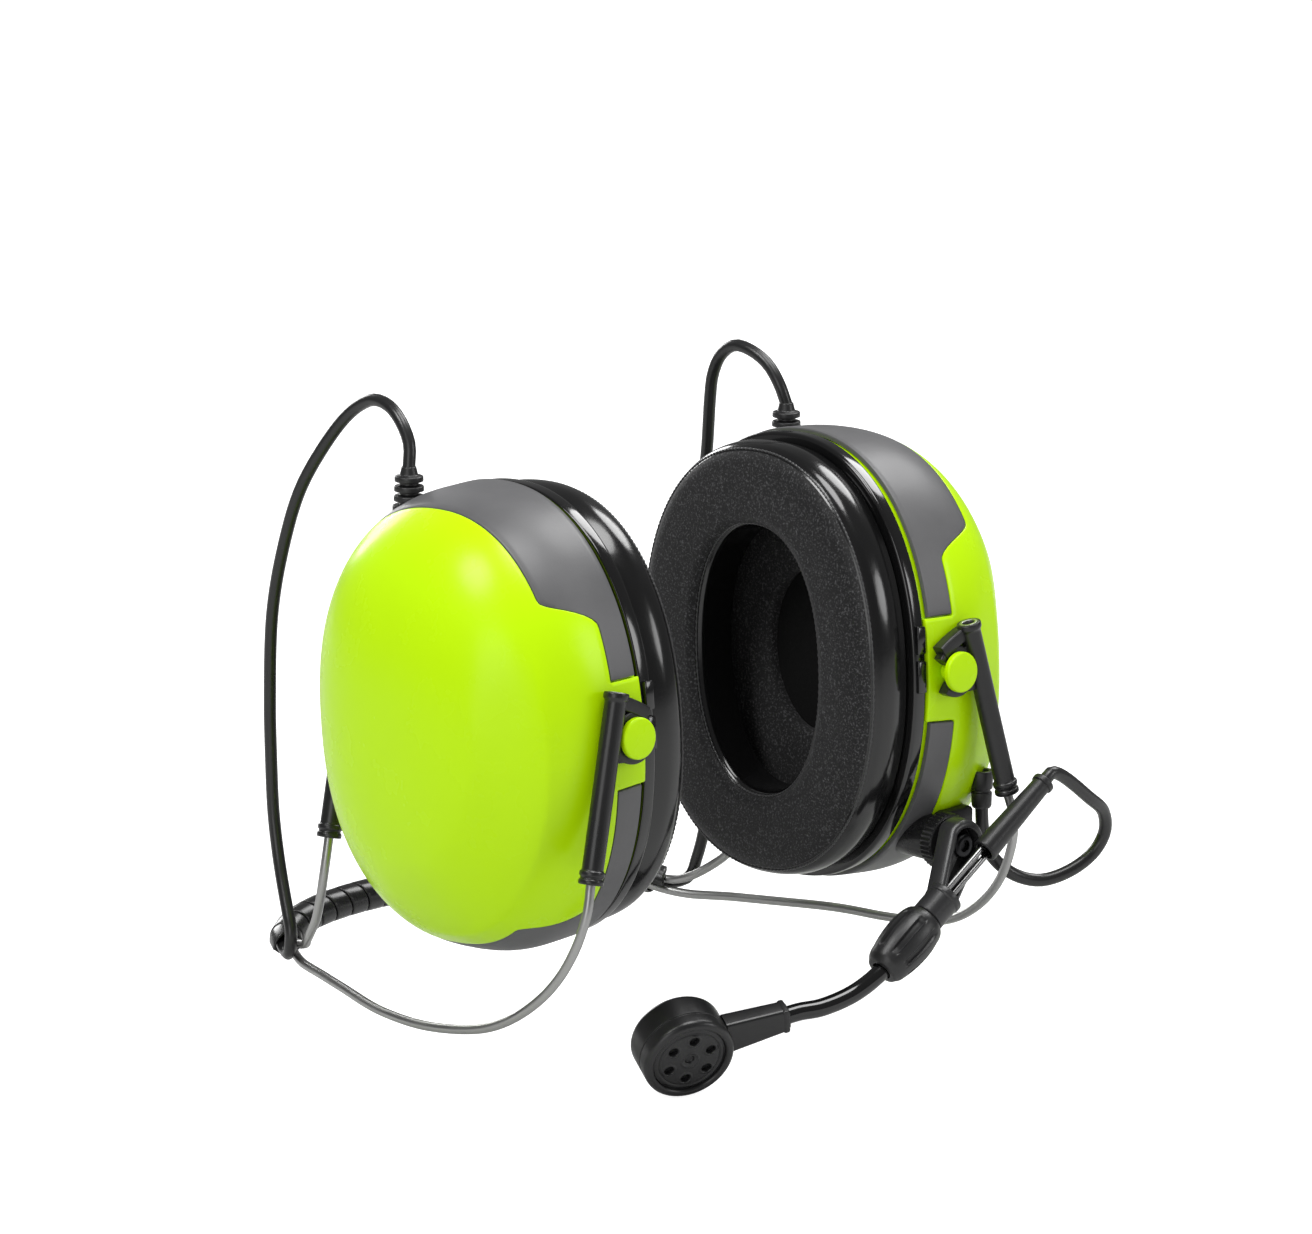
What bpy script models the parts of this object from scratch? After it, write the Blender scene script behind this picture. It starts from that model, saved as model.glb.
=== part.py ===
# Neckband hearing-protection headset with a boom microphone, as an assembly of separate pieces.
# Frame: +Z up, the wearer faces -Y, the wearer's left cup (the one with the boom) is at +X.
# The origin is the middle of the wearer's head, halfway between the two cup rims.
# Every size below is in millimetres; meshes are scaled to metres as they are made.
import math

import bmesh
import bpy
import numpy as np
from mathutils import Matrix, Vector

MM = 0.001
GAP = 0.3                    # clearance between pieces that touch on the real object

# ---- driving sizes: cups ----
RIM_OFFSET = 46.1            # middle of the head to the cup's rim plane
CUP_HALF_WIDTH = 45.2        # cup outline, front to back
CUP_HALF_HEIGHT = 56.0       # cup outline, up and down
CUP_DEPTH = 43.6             # rim plane to the crown of the shell
CUP_SQUARENESS = 2.2         # superellipse exponent of the outline at the rim
CROWN_SQUARENESS = 2.33      # the same at the crown
WALL_STRAIGHT = 7.5          # depth of the straight side wall before the dome starts
DOME_SQUARENESS = 2.45       # superellipse exponent of the dome's own profile
CROWN_DRIFT = -0.035         # the crown sits forward and down by this share of the depth
CUP_PITCH = 4.0              # degrees the top of the cup leans back
CUP_LEAN = 1.4               # degrees the top of the cup leans outward
SHELL_WALL = 4.0
COVER_THICK = 1.2
RIM_LIP = 1.2                # green lip between the covers and the black plate
COVER_LOW = 9.0              # cover width beside the pivots
TOP_COVER_WIDE = 22.5        # cover width over the top
BOTTOM_COVER_WIDE = 24.5     # cover width under the bottom
TOP_TAB_HALF = 11.0          # degrees from the pivot line to the top cover's end
BOTTOM_TAB_HALF = 11.5       # degrees from the pivot line to the bottom cover's end
TOP_STEP = (155.0, 143.0)    # degrees where the top cover starts and stops widening
BOTTOM_STEP = (226.0, 242.0)  # degrees where the bottom cover starts and stops widening
SEAM = 0.35                  # degrees of the narrow wall at each end of a cover's recess
COVER_STEPS = 17             # cross-sections along a cover, and over its recess
RECESS_STEPS = (0.0, 0.33, 0.67, 1.0)

# ---- driving sizes: plate, cushion, inner parts ----
PLATE_PROUD = 0.9
PLATE_THICK = 3.7
PLATE_OPENING = (27.0, 37.0)
CUSHION_FACE = -17.5         # cushion's front face, inward of the rim plane
CUSHION_HOLE = (20.0, 31.5)
LINER_FRONT = 4.0
LINER_BACK = 12.0
LINER_HOLE = (12.0, 19.0)
SPEAKER_RADIUS = 13.5
SPEAKER_FLANGE = 17.0
SPEAKER_BACK = 20.0
FRAME_HALF = (33.0, 42.0)
BOARD_SIZE = (1.6, 40.0, 30.0)
BOARD_DEPTH = 24.0

# ---- driving sizes: pivots, tubes and wires ----
PIVOT_DEPTH = 6.3            # pivot axis outward of the rim plane
PIVOT_HEIGHT = -0.8
CAP_RADIUS = 5.0
CAP_THICK = 1.6
POST_RADIUS = 2.6
ARM_THICK = 3.0
ARM_RING = 6.2
TUBE_LEAN = 15.3             # degrees the tube's foot stands out from the cup
TUBE_LENGTH = 45.4
TUBE_TOP = (10.6, 10.8)      # depth and height of the tube's top end
TUBE_RADIUS = 2.6
TUBE_FLANGE = TUBE_RADIUS + 0.45
WIRE_RADIUS = 1.15
WIRE_TUCK = 3.0              # wire end below the tube's top end
WIRE_SPACING = 6.0           # distance between a wire's points
NECK_TWIST = 0.04            # the band sags on the boom's side by this share of the sideways distance

# ---- driving sizes: cable, spiral wrap, strain relief ----
LINK_RADIUS = 1.55
WRAP_RADIUS = 4.0
WRAP_WALL = 0.6
RELIEF_RADIUS = 3.4
RELIEF_LENGTH = 9.0

# ---- driving sizes: boom ----
SWING_X = 53.4               # fore-and-aft swing axis of the boom, sideways and in height
SWING_Z = 15.0 - CUP_HALF_HEIGHT
MOUNT_FACE = 3.7 - CUP_HALF_WIDTH  # front face of the mount block
BOSS_RADIUS = 5.8
BOSS_DEPTH = 15.0
DISC_RADIUS = 7.0
DISC_THICK = 4.0
EYE_RADIUS = 6.5
EYE_THICK = 5.4
EYE_POCKET = (4.4, 2.2)      # radius and depth of the screw head's pocket
SCREW_RADIUS = 1.5
SCREW_DEPTH = 4.5            # how far the screw reaches into the mount block
HEAD_RADIUS = 3.2
HEAD_THICK = 0.9
BOOM_Y = MOUNT_FACE - 15.9   # fore-and-aft place of the boom's line
BOOM_DROP = 35.0             # degrees the boom slopes down towards the microphone
COLLAR_CENTRE = (SWING_X - 15.7, BOOM_Y, SWING_Z - 11.4)
COLLAR_RADIUS = 4.2
COLLAR_HALF = 4.0
GRIP_RADIUS = 6.2
GRIP_LENGTH = 18.0
ROD_RADIUS = 0.8
ROD_SPACING = 2.4
SLEEVE_START = -19.5         # along the boom from the collar, towards the cable
SLEEVE_LENGTH = 25.0
SLEEVE_RADII = (3.2, 2.4)
NECK_RADIUS = 2.2
MIC_CENTRE = (COLLAR_CENTRE[0] - 65.8, BOOM_Y + 19.0, COLLAR_CENTRE[2] - 26.8)
MIC_NORMAL = (-0.297, -0.859, -0.412)
MIC_RADIUS = 11.5
MIC_LENGTH = 11.7
MIC_WALL = 1.2
MIC_BAR = (15.5, 8.2, 5.0)   # length, height and thickness of the microphone's neck
MIC_CABLE_RADIUS = 1.65

# ---- routes chosen by hand: left side, mirrored for the right where both are alike ----
WRAP_ROUTE = [(62.8, 68.0, -72.4), (60.8, 72.2, -71.6), (56.0, 75.8, -69.8), (47.0, 78.6, -67.8),
              (33.0, 80.4, -66.3), (16.0, 81.2, -65.6)]
WRAP_MIDDLE = (0.0, 81.4, -65.4)
FRONT_WIRE_ROUTE = [(71.8, -46.5, -50.0), (73.6, -38.0, -60.0), (75.4, -24.0, -68.5),
                    (76.6, -4.0, -72.6), (74.6, 18.0, -73.6), (70.2, 38.0, -73.8),
                    (66.8, 52.0, -74.0), (64.2, 61.0, -74.4)]
REAR_WIRE_ROUTE = [(69.9, 48.4, -58.5), (67.0, 55.5, -66.0), (62.7, 62.4, -70.2)]
LEFT_LINK_ROUTE = [(60.6, 22.9, 61.0), (59.9, 27.4, 66.6), (59.1, 33.8, 70.0), (58.7, 38.8, 70.4),
                   (58.5, 43.6, 67.4), (58.2, 46.6, 61.4), (58.2, 47.6, 53.7), (58.6, 49.0, 42.5),
                   (59.8, 52.6, 27.0), (61.4, 56.6, 8.0), (63.2, 58.4, -12.0), (65.2, 57.6, -32.0),
                   (66.2, 57.0, -46.0), (66.8, 58.6, -58.0), (66.9, 61.6, -67.0), (66.2, 63.6, -72.6)]
RIGHT_LINK_ROUTE = [(-60.6, 22.7, 61.4), (-60.0, 26.6, 67.6), (-59.3, 33.0, 71.2), (-59.0, 39.5, 71.2),
                    (-59.4, 47.4, 66.6), (-60.6, 54.6, 58.6), (-61.8, 63.2, 46.0), (-62.0, 69.6, 31.0),
                    (-62.0, 74.2, 14.0), (-62.0, 75.6, -8.0), (-62.0, 75.4, -23.0), (-62.2, 74.4, -37.0),
                    (-63.0, 71.4, -48.5), (-65.0, 66.6, -57.0), (-66.6, 62.8, -63.0),
                    (-66.9, 62.0, -67.0), (-66.2, 64.4, -70.2)]
GLAND_TIP = (SWING_X + 16.2, MOUNT_FACE + 1.5, -36.0)
MIC_CABLE_STEPS = [(0.6, 0.0, -6.0), (3.4, 0.0, -12.5), (9.0, -2.0, -18.0), (15.4, -5.0, -20.2),
                   (22.4, -8.0, -18.6), (28.8, -10.0, -13.4), (30.8, -12.2, -6.3), (27.0, -14.6, 0.4),
                   (18.0, -16.8, 6.6)]          # from the gland's tip
GOOSENECK_STEPS = [(-25.7, 1.8, -17.4), (-34.1, 4.2, -19.9)]  # from the collar


def clear_scene():
    for old in list(bpy.data.objects):
        bpy.data.objects.remove(old, do_unlink=True)


def material(name, colour, roughness, metallic=0.0):
    made = bpy.data.materials.new(name)
    made.use_nodes = True
    shader = made.node_tree.nodes["Principled BSDF"]
    shader.inputs["Base Color"].default_value = (*colour, 1.0)
    shader.inputs["Roughness"].default_value = roughness
    shader.inputs["Metallic"].default_value = metallic
    return made


def unit(vector):
    vector = np.asarray(vector, float)
    return vector / np.linalg.norm(vector)


def empty(name, matrix, parent=None):
    holder = bpy.data.objects.new(name, None)
    bpy.context.collection.objects.link(holder)
    holder.parent = parent
    holder.matrix_world = matrix
    bpy.context.view_layer.update()
    return holder


def piece(name, points, faces, finish, frame=None, in_frame=False):
    """One closed solid. Points are millimetres, in the world or, with in_frame, in the frame."""
    mesh = bpy.data.meshes.new(name)
    placed = np.asarray(points, float) * MM
    if frame is not None and not in_frame:
        inverse = np.array(frame.matrix_world.inverted())
        placed = placed @ inverse[:3, :3].T + inverse[:3, 3]
    mesh.from_pydata(placed.tolist(), [], faces)
    work = bmesh.new()
    work.from_mesh(mesh)
    bmesh.ops.recalc_face_normals(work, faces=work.faces)
    work.to_mesh(mesh)
    work.free()
    mesh.shade_smooth()
    mesh.set_sharp_from_angle(angle=math.radians(35))
    mesh.materials.append(finish)
    made = bpy.data.objects.new(name, mesh)
    bpy.context.collection.objects.link(made)
    made.parent = frame
    bpy.context.view_layer.update()
    return made


def combine(target, tool, operation):
    """Joins or cuts target with tool, keeps the result and removes the tool."""
    change = target.modifiers.new("combine", "BOOLEAN")
    change.operation = operation
    change.object = tool
    change.solver = "EXACT"
    bpy.context.view_layer.update()
    result = bpy.data.meshes.new_from_object(target.evaluated_get(bpy.context.evaluated_depsgraph_get()))
    target.modifiers.clear()
    target.data = result
    bpy.data.objects.remove(tool, do_unlink=True)
    return target


def loft_faces(ring_count, ring_size, closed):
    """Quads between neighbouring rings; the end rings are capped unless the loft is closed."""
    faces = []
    for ring in range(ring_count if closed else ring_count - 1):
        here, there = ring * ring_size, ((ring + 1) % ring_count) * ring_size
        for k in range(ring_size):
            nxt = (k + 1) % ring_size
            faces.append((here + k, here + nxt, there + nxt, there + k))
    if not closed:
        faces.append(tuple(range(ring_size)))
        faces.append(tuple(range((ring_count - 1) * ring_size, ring_count * ring_size)))
    return faces


def loft(name, rings, finish, frame=None, in_frame=False, closed=False):
    rings = np.asarray(rings, float)
    faces = loft_faces(rings.shape[0], rings.shape[1], closed)
    return piece(name, rings.reshape(-1, 3), faces, finish, frame, in_frame)


def across(direction):
    """Two unit vectors square to a direction and to each other."""
    direction = unit(direction)
    helper = np.array([0.0, 1.0, 0.0]) if abs(direction[1]) < 0.8 else np.array([0.0, 0.0, 1.0])
    side = unit(np.cross(helper, direction))
    return side, np.cross(direction, side)


def turned(name, start, direction, profile, finish, frame=None, in_frame=False, sides=20, closed=False):
    """A turned piece: profile is (distance along the axis, radius) pairs."""
    direction = unit(direction)
    side, up = across(direction)
    angles = np.linspace(0, 2 * math.pi, sides, endpoint=False)
    circle = np.outer(np.cos(angles), side) + np.outer(np.sin(angles), up)
    rings = [np.asarray(start) + direction * along + circle * radius for along, radius in profile]
    return loft(name, rings, finish, frame, in_frame, closed)


def block(name, low, high, finish, frame=None, in_frame=False):
    corners = [(x, y, z) for x in (low[0], high[0]) for y in (low[1], high[1]) for z in (low[2], high[2])]
    faces = [(0, 1, 3, 2), (4, 6, 7, 5), (0, 4, 5, 1), (2, 3, 7, 6), (0, 2, 6, 4), (1, 5, 7, 3)]
    return piece(name, corners, faces, finish, frame, in_frame)


def smooth_route(points, spacing):
    """Centripetal Catmull-Rom curve through the points, read off at an even spacing."""
    points = [np.asarray(p, float) for p in points]
    points = [2 * points[0] - points[1]] + points + [2 * points[-1] - points[-2]]
    dense = []
    for p0, p1, p2, p3 in zip(points, points[1:], points[2:], points[3:]):
        t0 = 0.0
        t1 = t0 + np.linalg.norm(p1 - p0) ** 0.5
        t2 = t1 + np.linalg.norm(p2 - p1) ** 0.5
        t3 = t2 + np.linalg.norm(p3 - p2) ** 0.5
        for t in np.linspace(t1, t2, 24, endpoint=False):
            a1 = (t1 - t) / (t1 - t0) * p0 + (t - t0) / (t1 - t0) * p1
            a2 = (t2 - t) / (t2 - t1) * p1 + (t - t1) / (t2 - t1) * p2
            a3 = (t3 - t) / (t3 - t2) * p2 + (t - t2) / (t3 - t2) * p3
            b1 = (t2 - t) / (t2 - t0) * a1 + (t - t0) / (t2 - t0) * a2
            b2 = (t3 - t) / (t3 - t1) * a2 + (t - t1) / (t3 - t1) * a3
            dense.append((t2 - t) / (t2 - t1) * b1 + (t - t1) / (t2 - t1) * b2)
    dense.append(points[-2])
    dense = np.array(dense)
    travelled = np.concatenate([[0], np.cumsum(np.linalg.norm(np.diff(dense, axis=0), axis=1))])
    count = max(2, round(travelled[-1] / spacing) + 1)
    wanted = np.linspace(0, travelled[-1], count)
    return np.stack([np.interp(wanted, travelled, dense[:, k]) for k in range(3)], 1)


def tube(name, path, radius, finish, resolution=2):
    """A round cord or wire: a poly curve with a bevel and filled caps."""
    curve = bpy.data.curves.new(name, "CURVE")
    curve.dimensions = "3D"
    curve.bevel_depth = radius * MM
    curve.bevel_resolution = resolution
    curve.use_fill_caps = True
    spline = curve.splines.new("POLY")
    spline.points.add(len(path) - 1)
    for point, place in zip(spline.points, path):
        point.co = (*(np.asarray(place) * MM), 1.0)
    curve.materials.append(finish)
    made = bpy.data.objects.new(name, curve)
    bpy.context.collection.objects.link(made)
    return made


def superellipse(theta, half_width, half_height, exponent):
    c, s = np.cos(theta), np.sin(theta)
    y = half_width * np.sign(c) * np.abs(c) ** (2 / exponent)
    z = half_height * np.sign(s) * np.abs(s) ** (2 / exponent)
    return y, z


def dome_share(depth, crown):
    """How far the outline has shrunk at a depth: 1 on the straight wall, 0 at the crown."""
    over = np.clip((depth - WALL_STRAIGHT) / (crown - WALL_STRAIGHT), 0, 1)
    return (1 - over ** DOME_SQUARENESS) ** (1 / DOME_SQUARENESS)


def cup_surface(theta, depth, inset=0.0):
    """Points of the cup's outside, or of a surface inset from it, at an angle and a depth."""
    theta, depth = np.broadcast_arrays(np.asarray(theta, float), np.asarray(depth, float))
    crown = CUP_DEPTH - inset
    share = dome_share(depth, crown)
    exponent = CUP_SQUARENESS + (CROWN_SQUARENESS - CUP_SQUARENESS) * depth / CUP_DEPTH
    y, z = superellipse(theta, (CUP_HALF_WIDTH - inset) * share, (CUP_HALF_HEIGHT - inset) * share, exponent)
    return np.stack([depth, y + CROWN_DRIFT * depth, z + CROWN_DRIFT * depth], -1)


def ease(value):
    value = np.clip(value, 0, 1)
    return value * value * (3 - 2 * value)


def cover_width(theta):
    """How far the grey cover reaches over the shell at an angle (degrees, 0 is rear, 90 is up)."""
    folded = np.where(np.cos(np.radians(theta)) > 0, 180 - theta, theta)
    folded = np.where(folded < 0, folded + 360, folded)
    start, stop = TOP_STEP
    top = COVER_LOW + (TOP_COVER_WIDE - COVER_LOW) * ease((start - folded) / (start - stop))
    start, stop = BOTTOM_STEP
    bottom = COVER_LOW + (BOTTOM_COVER_WIDE - COVER_LOW) * ease((folded - start) / (stop - start))
    return np.where(folded < 180, top, bottom)


def mirrored(points, side):
    return np.asarray(points) * np.array([side, 1.0, 1.0])


def shell_angles():
    """Angles round the shell, with a close pair at both ends of each cover's recess, and a flag."""
    arcs = [(TOP_TAB_HALF, 180 - TOP_TAB_HALF, COVER_STEPS, True),
            (180 - TOP_TAB_HALF + SEAM, 180 + BOTTOM_TAB_HALF - SEAM, 3, False),
            (180 + BOTTOM_TAB_HALF, 360 - BOTTOM_TAB_HALF, COVER_STEPS, True),
            (360 - BOTTOM_TAB_HALF + SEAM, 360 + TOP_TAB_HALF - SEAM, 3, False)]
    angles, recessed = [], []
    for first, last, count, under_cover in arcs:
        angles.extend(np.linspace(first, last, count))
        recessed.extend([under_cover] * count)
    return np.array(angles), np.array(recessed)


def outer_shell(name, side, finish, frame):
    degrees, recessed = shell_angles()
    theta = np.radians(degrees)
    inset = np.where(recessed, COVER_THICK + GAP, 0.0)
    width = cover_width(degrees)
    edge = 0.25
    rings = [cup_surface(theta, 0.0), cup_surface(theta, RIM_LIP)]
    for share in RECESS_STEPS:
        depth = RIM_LIP + edge + share * (width - RIM_LIP - 2 * edge)
        under = cup_surface(theta, depth)
        inward = cup_surface(theta, depth, COVER_THICK + GAP)
        rings.append(np.where((inset > 0)[:, None], inward, under))
    rings.append(cup_surface(theta, width))
    last = CUP_DEPTH - 0.12
    start_angle = np.arcsin(np.clip((width - WALL_STRAIGHT) / (CUP_DEPTH - WALL_STRAIGHT), 0, 1)
                            ** (DOME_SQUARENESS / 2))
    end_angle = math.asin(((last - WALL_STRAIGHT) / (CUP_DEPTH - WALL_STRAIGHT)) ** (DOME_SQUARENESS / 2))
    for share in (0.16, 0.34, 0.52, 0.7, 0.86, 1.0):
        turn = start_angle + (end_angle - start_angle) * share
        depth = WALL_STRAIGHT + (CUP_DEPTH - WALL_STRAIGHT) * np.sin(turn) ** (2 / DOME_SQUARENESS)
        rings.append(cup_surface(theta, depth))
    rings.reverse()
    for share in (0.0, 0.25, 0.5, 0.7, 0.86, 0.96, 0.995):
        rings.append(cup_surface(theta, share * (CUP_DEPTH - SHELL_WALL), SHELL_WALL))
    return loft(name, mirrored(rings, side), finish, frame, True)


def cover(name, side, first, last, finish, frame):
    """A grey cover: a curved strip lying flush in the shell's recess."""
    margin = 0.4
    degrees = np.linspace(first, last, COVER_STEPS)
    degrees[0] += margin
    degrees[-1] -= margin
    theta = np.radians(degrees)
    width = cover_width(degrees) - 0.3
    start = RIM_LIP + 0.3
    outer, inner = [], []
    for share in RECESS_STEPS:
        depth = start + share * (width - start)
        outer.append(cup_surface(theta, depth))
        inner.append(cup_surface(theta, depth, COVER_THICK))
    strips = np.array(outer + inner[::-1])                       # each strip runs round the cup
    rings = np.transpose(strips, (1, 0, 2))                      # each ring is one cross-section
    return loft(name, mirrored(rings, side), finish, frame, True)


def outline_ring(half_width, half_height, depth, exponent=CUP_SQUARENESS, count=36):
    theta = np.linspace(0, 2 * math.pi, count, endpoint=False)
    y, z = superellipse(theta, half_width, half_height, exponent)
    return np.stack([np.full(count, depth), y, z], -1)


def outline_solid(name, side, section, finish, frame, count=36):
    """A ring-shaped solid: section is a loop of (half width, half height, depth)."""
    rings = [outline_ring(a, b, depth, count=count) for a, b, depth in section]
    return loft(name, mirrored(rings, side), finish, frame, True, closed=True)


def cup_plate(name, side, finish, frame):
    a, b = CUP_HALF_WIDTH, CUP_HALF_HEIGHT
    fit = SHELL_WALL + GAP
    front = -GAP - PLATE_THICK
    section = [(a - fit - 2, b - fit - 2, 3.0), (a - fit, b - fit, 3.0), (a - fit, b - fit, -GAP),
               (a + PLATE_PROUD, b + PLATE_PROUD, -GAP), (a + PLATE_PROUD, b + PLATE_PROUD, front + 1.0),
               (a + PLATE_PROUD - 1.0, b + PLATE_PROUD - 1.0, front),
               (PLATE_OPENING[0], PLATE_OPENING[1], front), (PLATE_OPENING[0], PLATE_OPENING[1], -GAP),
               (a - fit - 2, b - fit - 2, -GAP)]
    return outline_solid(name, side, section, finish, frame)


def ear_cushion(name, side, finish, frame):
    a, b = CUP_HALF_WIDTH, CUP_HALF_HEIGHT
    back = -2 * GAP - PLATE_THICK
    hole_a, hole_b = CUSHION_HOLE
    section = [(a - 1.5, b - 1.5, back), (a - 0.2, b - 0.2, back - 2.5), (a - 0.6, b - 0.6, -10.0),
               (a - 1.6, b - 1.6, CUSHION_FACE + 3.5), (a - 3.6, b - 3.6, CUSHION_FACE + 1.0),
               (a - 7.0, b - 7.0, CUSHION_FACE),
               (hole_a + 4.5, hole_b + 4.5, CUSHION_FACE), (hole_a + 1.6, hole_b + 1.6, CUSHION_FACE + 1.4),
               (hole_a, hole_b, CUSHION_FACE + 4.0), (hole_a, hole_b, back)]
    return outline_solid(name, side, section, finish, frame)


def foam_liner(name, side, finish, frame):
    a, b = CUP_HALF_WIDTH - SHELL_WALL - 2.6, CUP_HALF_HEIGHT - SHELL_WALL - 2.6
    hole_a, hole_b = LINER_HOLE
    section = [(a, b, LINER_FRONT), (a - 1.5, b - 1.5, LINER_BACK), (hole_a, hole_b, LINER_BACK),
               (hole_a, hole_b, LINER_FRONT)]
    return outline_solid(name, side, section, finish, frame, count=32)


def speaker_parts(word, side, finishes, frame):
    front = LINER_BACK + GAP
    outward = (side, 0, 0)
    turned(word + "_speaker", (0, 0, 0), outward,
           [(front, SPEAKER_FLANGE - 1), (front, SPEAKER_FLANGE), (front + 1.5, SPEAKER_FLANGE),
            (front + 1.5, SPEAKER_RADIUS), (SPEAKER_BACK, SPEAKER_RADIUS - 1)],
           finishes["black_satin"], frame, True, sides=24)
    seat = front + 1.5 + GAP
    theta = np.linspace(0, 2 * math.pi, 32, endpoint=False)
    round_y, round_z = np.cos(theta) * (SPEAKER_RADIUS + GAP), np.sin(theta) * (SPEAKER_RADIUS + GAP)
    wide_y, wide_z = superellipse(theta, FRAME_HALF[0], FRAME_HALF[1], CUP_SQUARENESS)
    rings = []
    for y, z, depth in ((wide_y, wide_z, seat), (wide_y, wide_z, seat + 2.0),
                        (round_y, round_z, seat + 2.0), (round_y, round_z, seat)):
        rings.append(np.stack([np.full(32, depth), y, z], -1))
    loft(word + "_speaker_frame", mirrored(rings, side), finishes["grey_inner"], frame, True, closed=True)


def tube_direction():
    """Down the tube, in the cup's frame, for the left side."""
    lean = math.radians(TUBE_LEAN)
    return np.array([math.sin(lean), 0.0, -math.cos(lean)])


def stack_heights():
    """Distances from the cup's middle plane, outward along the pivot axis."""
    skin = CUP_HALF_WIDTH + 0.3
    ring_in = skin + 0.4
    ring_out = ring_in + ARM_THICK
    cap_in = ring_out + 0.4
    return skin, ring_in, ring_out, cap_in, cap_in + CAP_THICK


def tube_line(end):
    """A point on a tube's axis, at its top end, and the way down; end is -1 front or 1 rear."""
    skin, ring_in, ring_out, cap_in, cap_out = stack_heights()
    top = np.array([TUBE_TOP[0], end * (ring_in + TUBE_RADIUS), TUBE_TOP[1]])
    return top, tube_direction()


def arm(name, side, end, finish, frame):
    """A guide tube with its hooked arm that clips round the pivot post."""
    skin, ring_in, ring_out, cap_in, cap_out = stack_heights()
    top, down = tube_line(end)
    top, down = mirrored(top, side), mirrored(down, side)
    length = TUBE_LENGTH
    body = turned(name, top, down,
                  [(0, TUBE_RADIUS), (0, TUBE_FLANGE), (1.6, TUBE_FLANGE), (1.6, TUBE_RADIUS),
                   (length - 2.6, TUBE_RADIUS), (length - 2.6, TUBE_FLANGE), (length, TUBE_FLANGE),
                   (length, TUBE_RADIUS)], finish, frame, True, sides=16)
    pivot = np.array([side * PIVOT_DEPTH, 0, PIVOT_HEIGHT])
    ring = turned("ring", pivot + (0, end * ring_in, 0), (0, end, 0),
                  [(0, ARM_RING), (ARM_THICK, ARM_RING)], finish, frame, True, sides=20)
    combine(body, ring, "UNION")
    finger = block("finger", (-1.6, -ARM_THICK / 2, -4.4), (1.6, ARM_THICK / 2, 4.4), finish)
    turn = Matrix.Rotation(math.radians(side * 42), 4, "Y")
    shift = Matrix.Translation(Vector((side * (PIVOT_DEPTH + 0.2), end * (ring_in + ring_out) / 2, 6.2)) * MM)
    finger.parent = frame
    finger.matrix_local = shift @ turn
    combine(body, finger, "UNION")
    bore = turned("bore", top - down * 2, down, [(0, WIRE_RADIUS + GAP), (length + 4, WIRE_RADIUS + GAP)],
                  finish, frame, True, sides=12)
    combine(body, bore, "DIFFERENCE")
    hole = turned("hole", pivot + (0, end * (ring_in - 1), 0), (0, end, 0),
                  [(0, POST_RADIUS + GAP), (ARM_THICK + 2, POST_RADIUS + GAP)], finish, frame, True, sides=16)
    combine(body, hole, "DIFFERENCE")
    room = turned("room", pivot + (0, end * (ring_out + 0.1), 0), (0, end, 0),
                  [(0, CAP_RADIUS + GAP), (CAP_THICK + 3, CAP_RADIUS + GAP)], finish, frame, True, sides=24)
    combine(body, room, "DIFFERENCE")
    return body


def pivot_cap(name, side, end, finish, frame):
    skin, ring_in, ring_out, cap_in, cap_out = stack_heights()
    start = np.array([side * PIVOT_DEPTH, end * (skin + 0.1), PIVOT_HEIGHT])
    reach = cap_in - skin - 0.1
    return turned(name, start, (0, end, 0),
                  [(0, POST_RADIUS), (reach, POST_RADIUS), (reach, CAP_RADIUS),
                   (reach + CAP_THICK - 0.5, CAP_RADIUS), (reach + CAP_THICK, CAP_RADIUS - 0.5)],
                  finish, frame, True, sides=24)


def cup_former(side, finish, frame):
    """A solid just larger than the cup, for cutting the back of a piece that sits on the cup."""
    theta = np.linspace(0, 2 * math.pi, 48, endpoint=False)
    rings = [outline_ring(CUP_HALF_WIDTH + 0.4, CUP_HALF_HEIGHT + 0.4, -2.0, count=48)]
    for depth in (0.0, 7.0, 12.0, 17.0, 22.0, 27.0, 32.0, 37.0):
        rings.append(cup_surface(theta, depth, -0.45))
    return loft("former", mirrored(rings, side), finish, frame, True)


def relief_line():
    """Foot of the strain relief on the top cover, and its direction, in the left cup's frame."""
    theta = math.radians(64.0)
    foot = cup_surface(theta, 15.4)
    return foot, unit((-0.16, -0.25, 0.95))


def strain_relief(name, side, finish, frame):
    foot, way = relief_line()
    foot, way = mirrored(foot, side), mirrored(way, side)
    core, rib = RELIEF_RADIUS - 0.9, RELIEF_RADIUS
    profile = [(-3.0, rib)]
    for turn in range(3):
        along = 1.4 + 2.1 * turn
        profile += [(along, rib), (along + 0.2, core), (along + 0.9, core), (along + 1.1, rib)]
    profile += [(8.0, rib), (8.3, core), (RELIEF_LENGTH, LINK_RADIUS + 0.3)]
    made = turned(name, foot, way, profile, finish, frame, True, sides=12)
    return combine(made, cup_former(side, finish, frame), "DIFFERENCE")


def frame_point(frame, point):
    placed = frame.matrix_world @ (Vector(point) * MM)
    return np.array(placed) / MM


def frame_way(frame, way):
    return unit(np.array(frame.matrix_world.to_3x3() @ Vector(way)))


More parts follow.
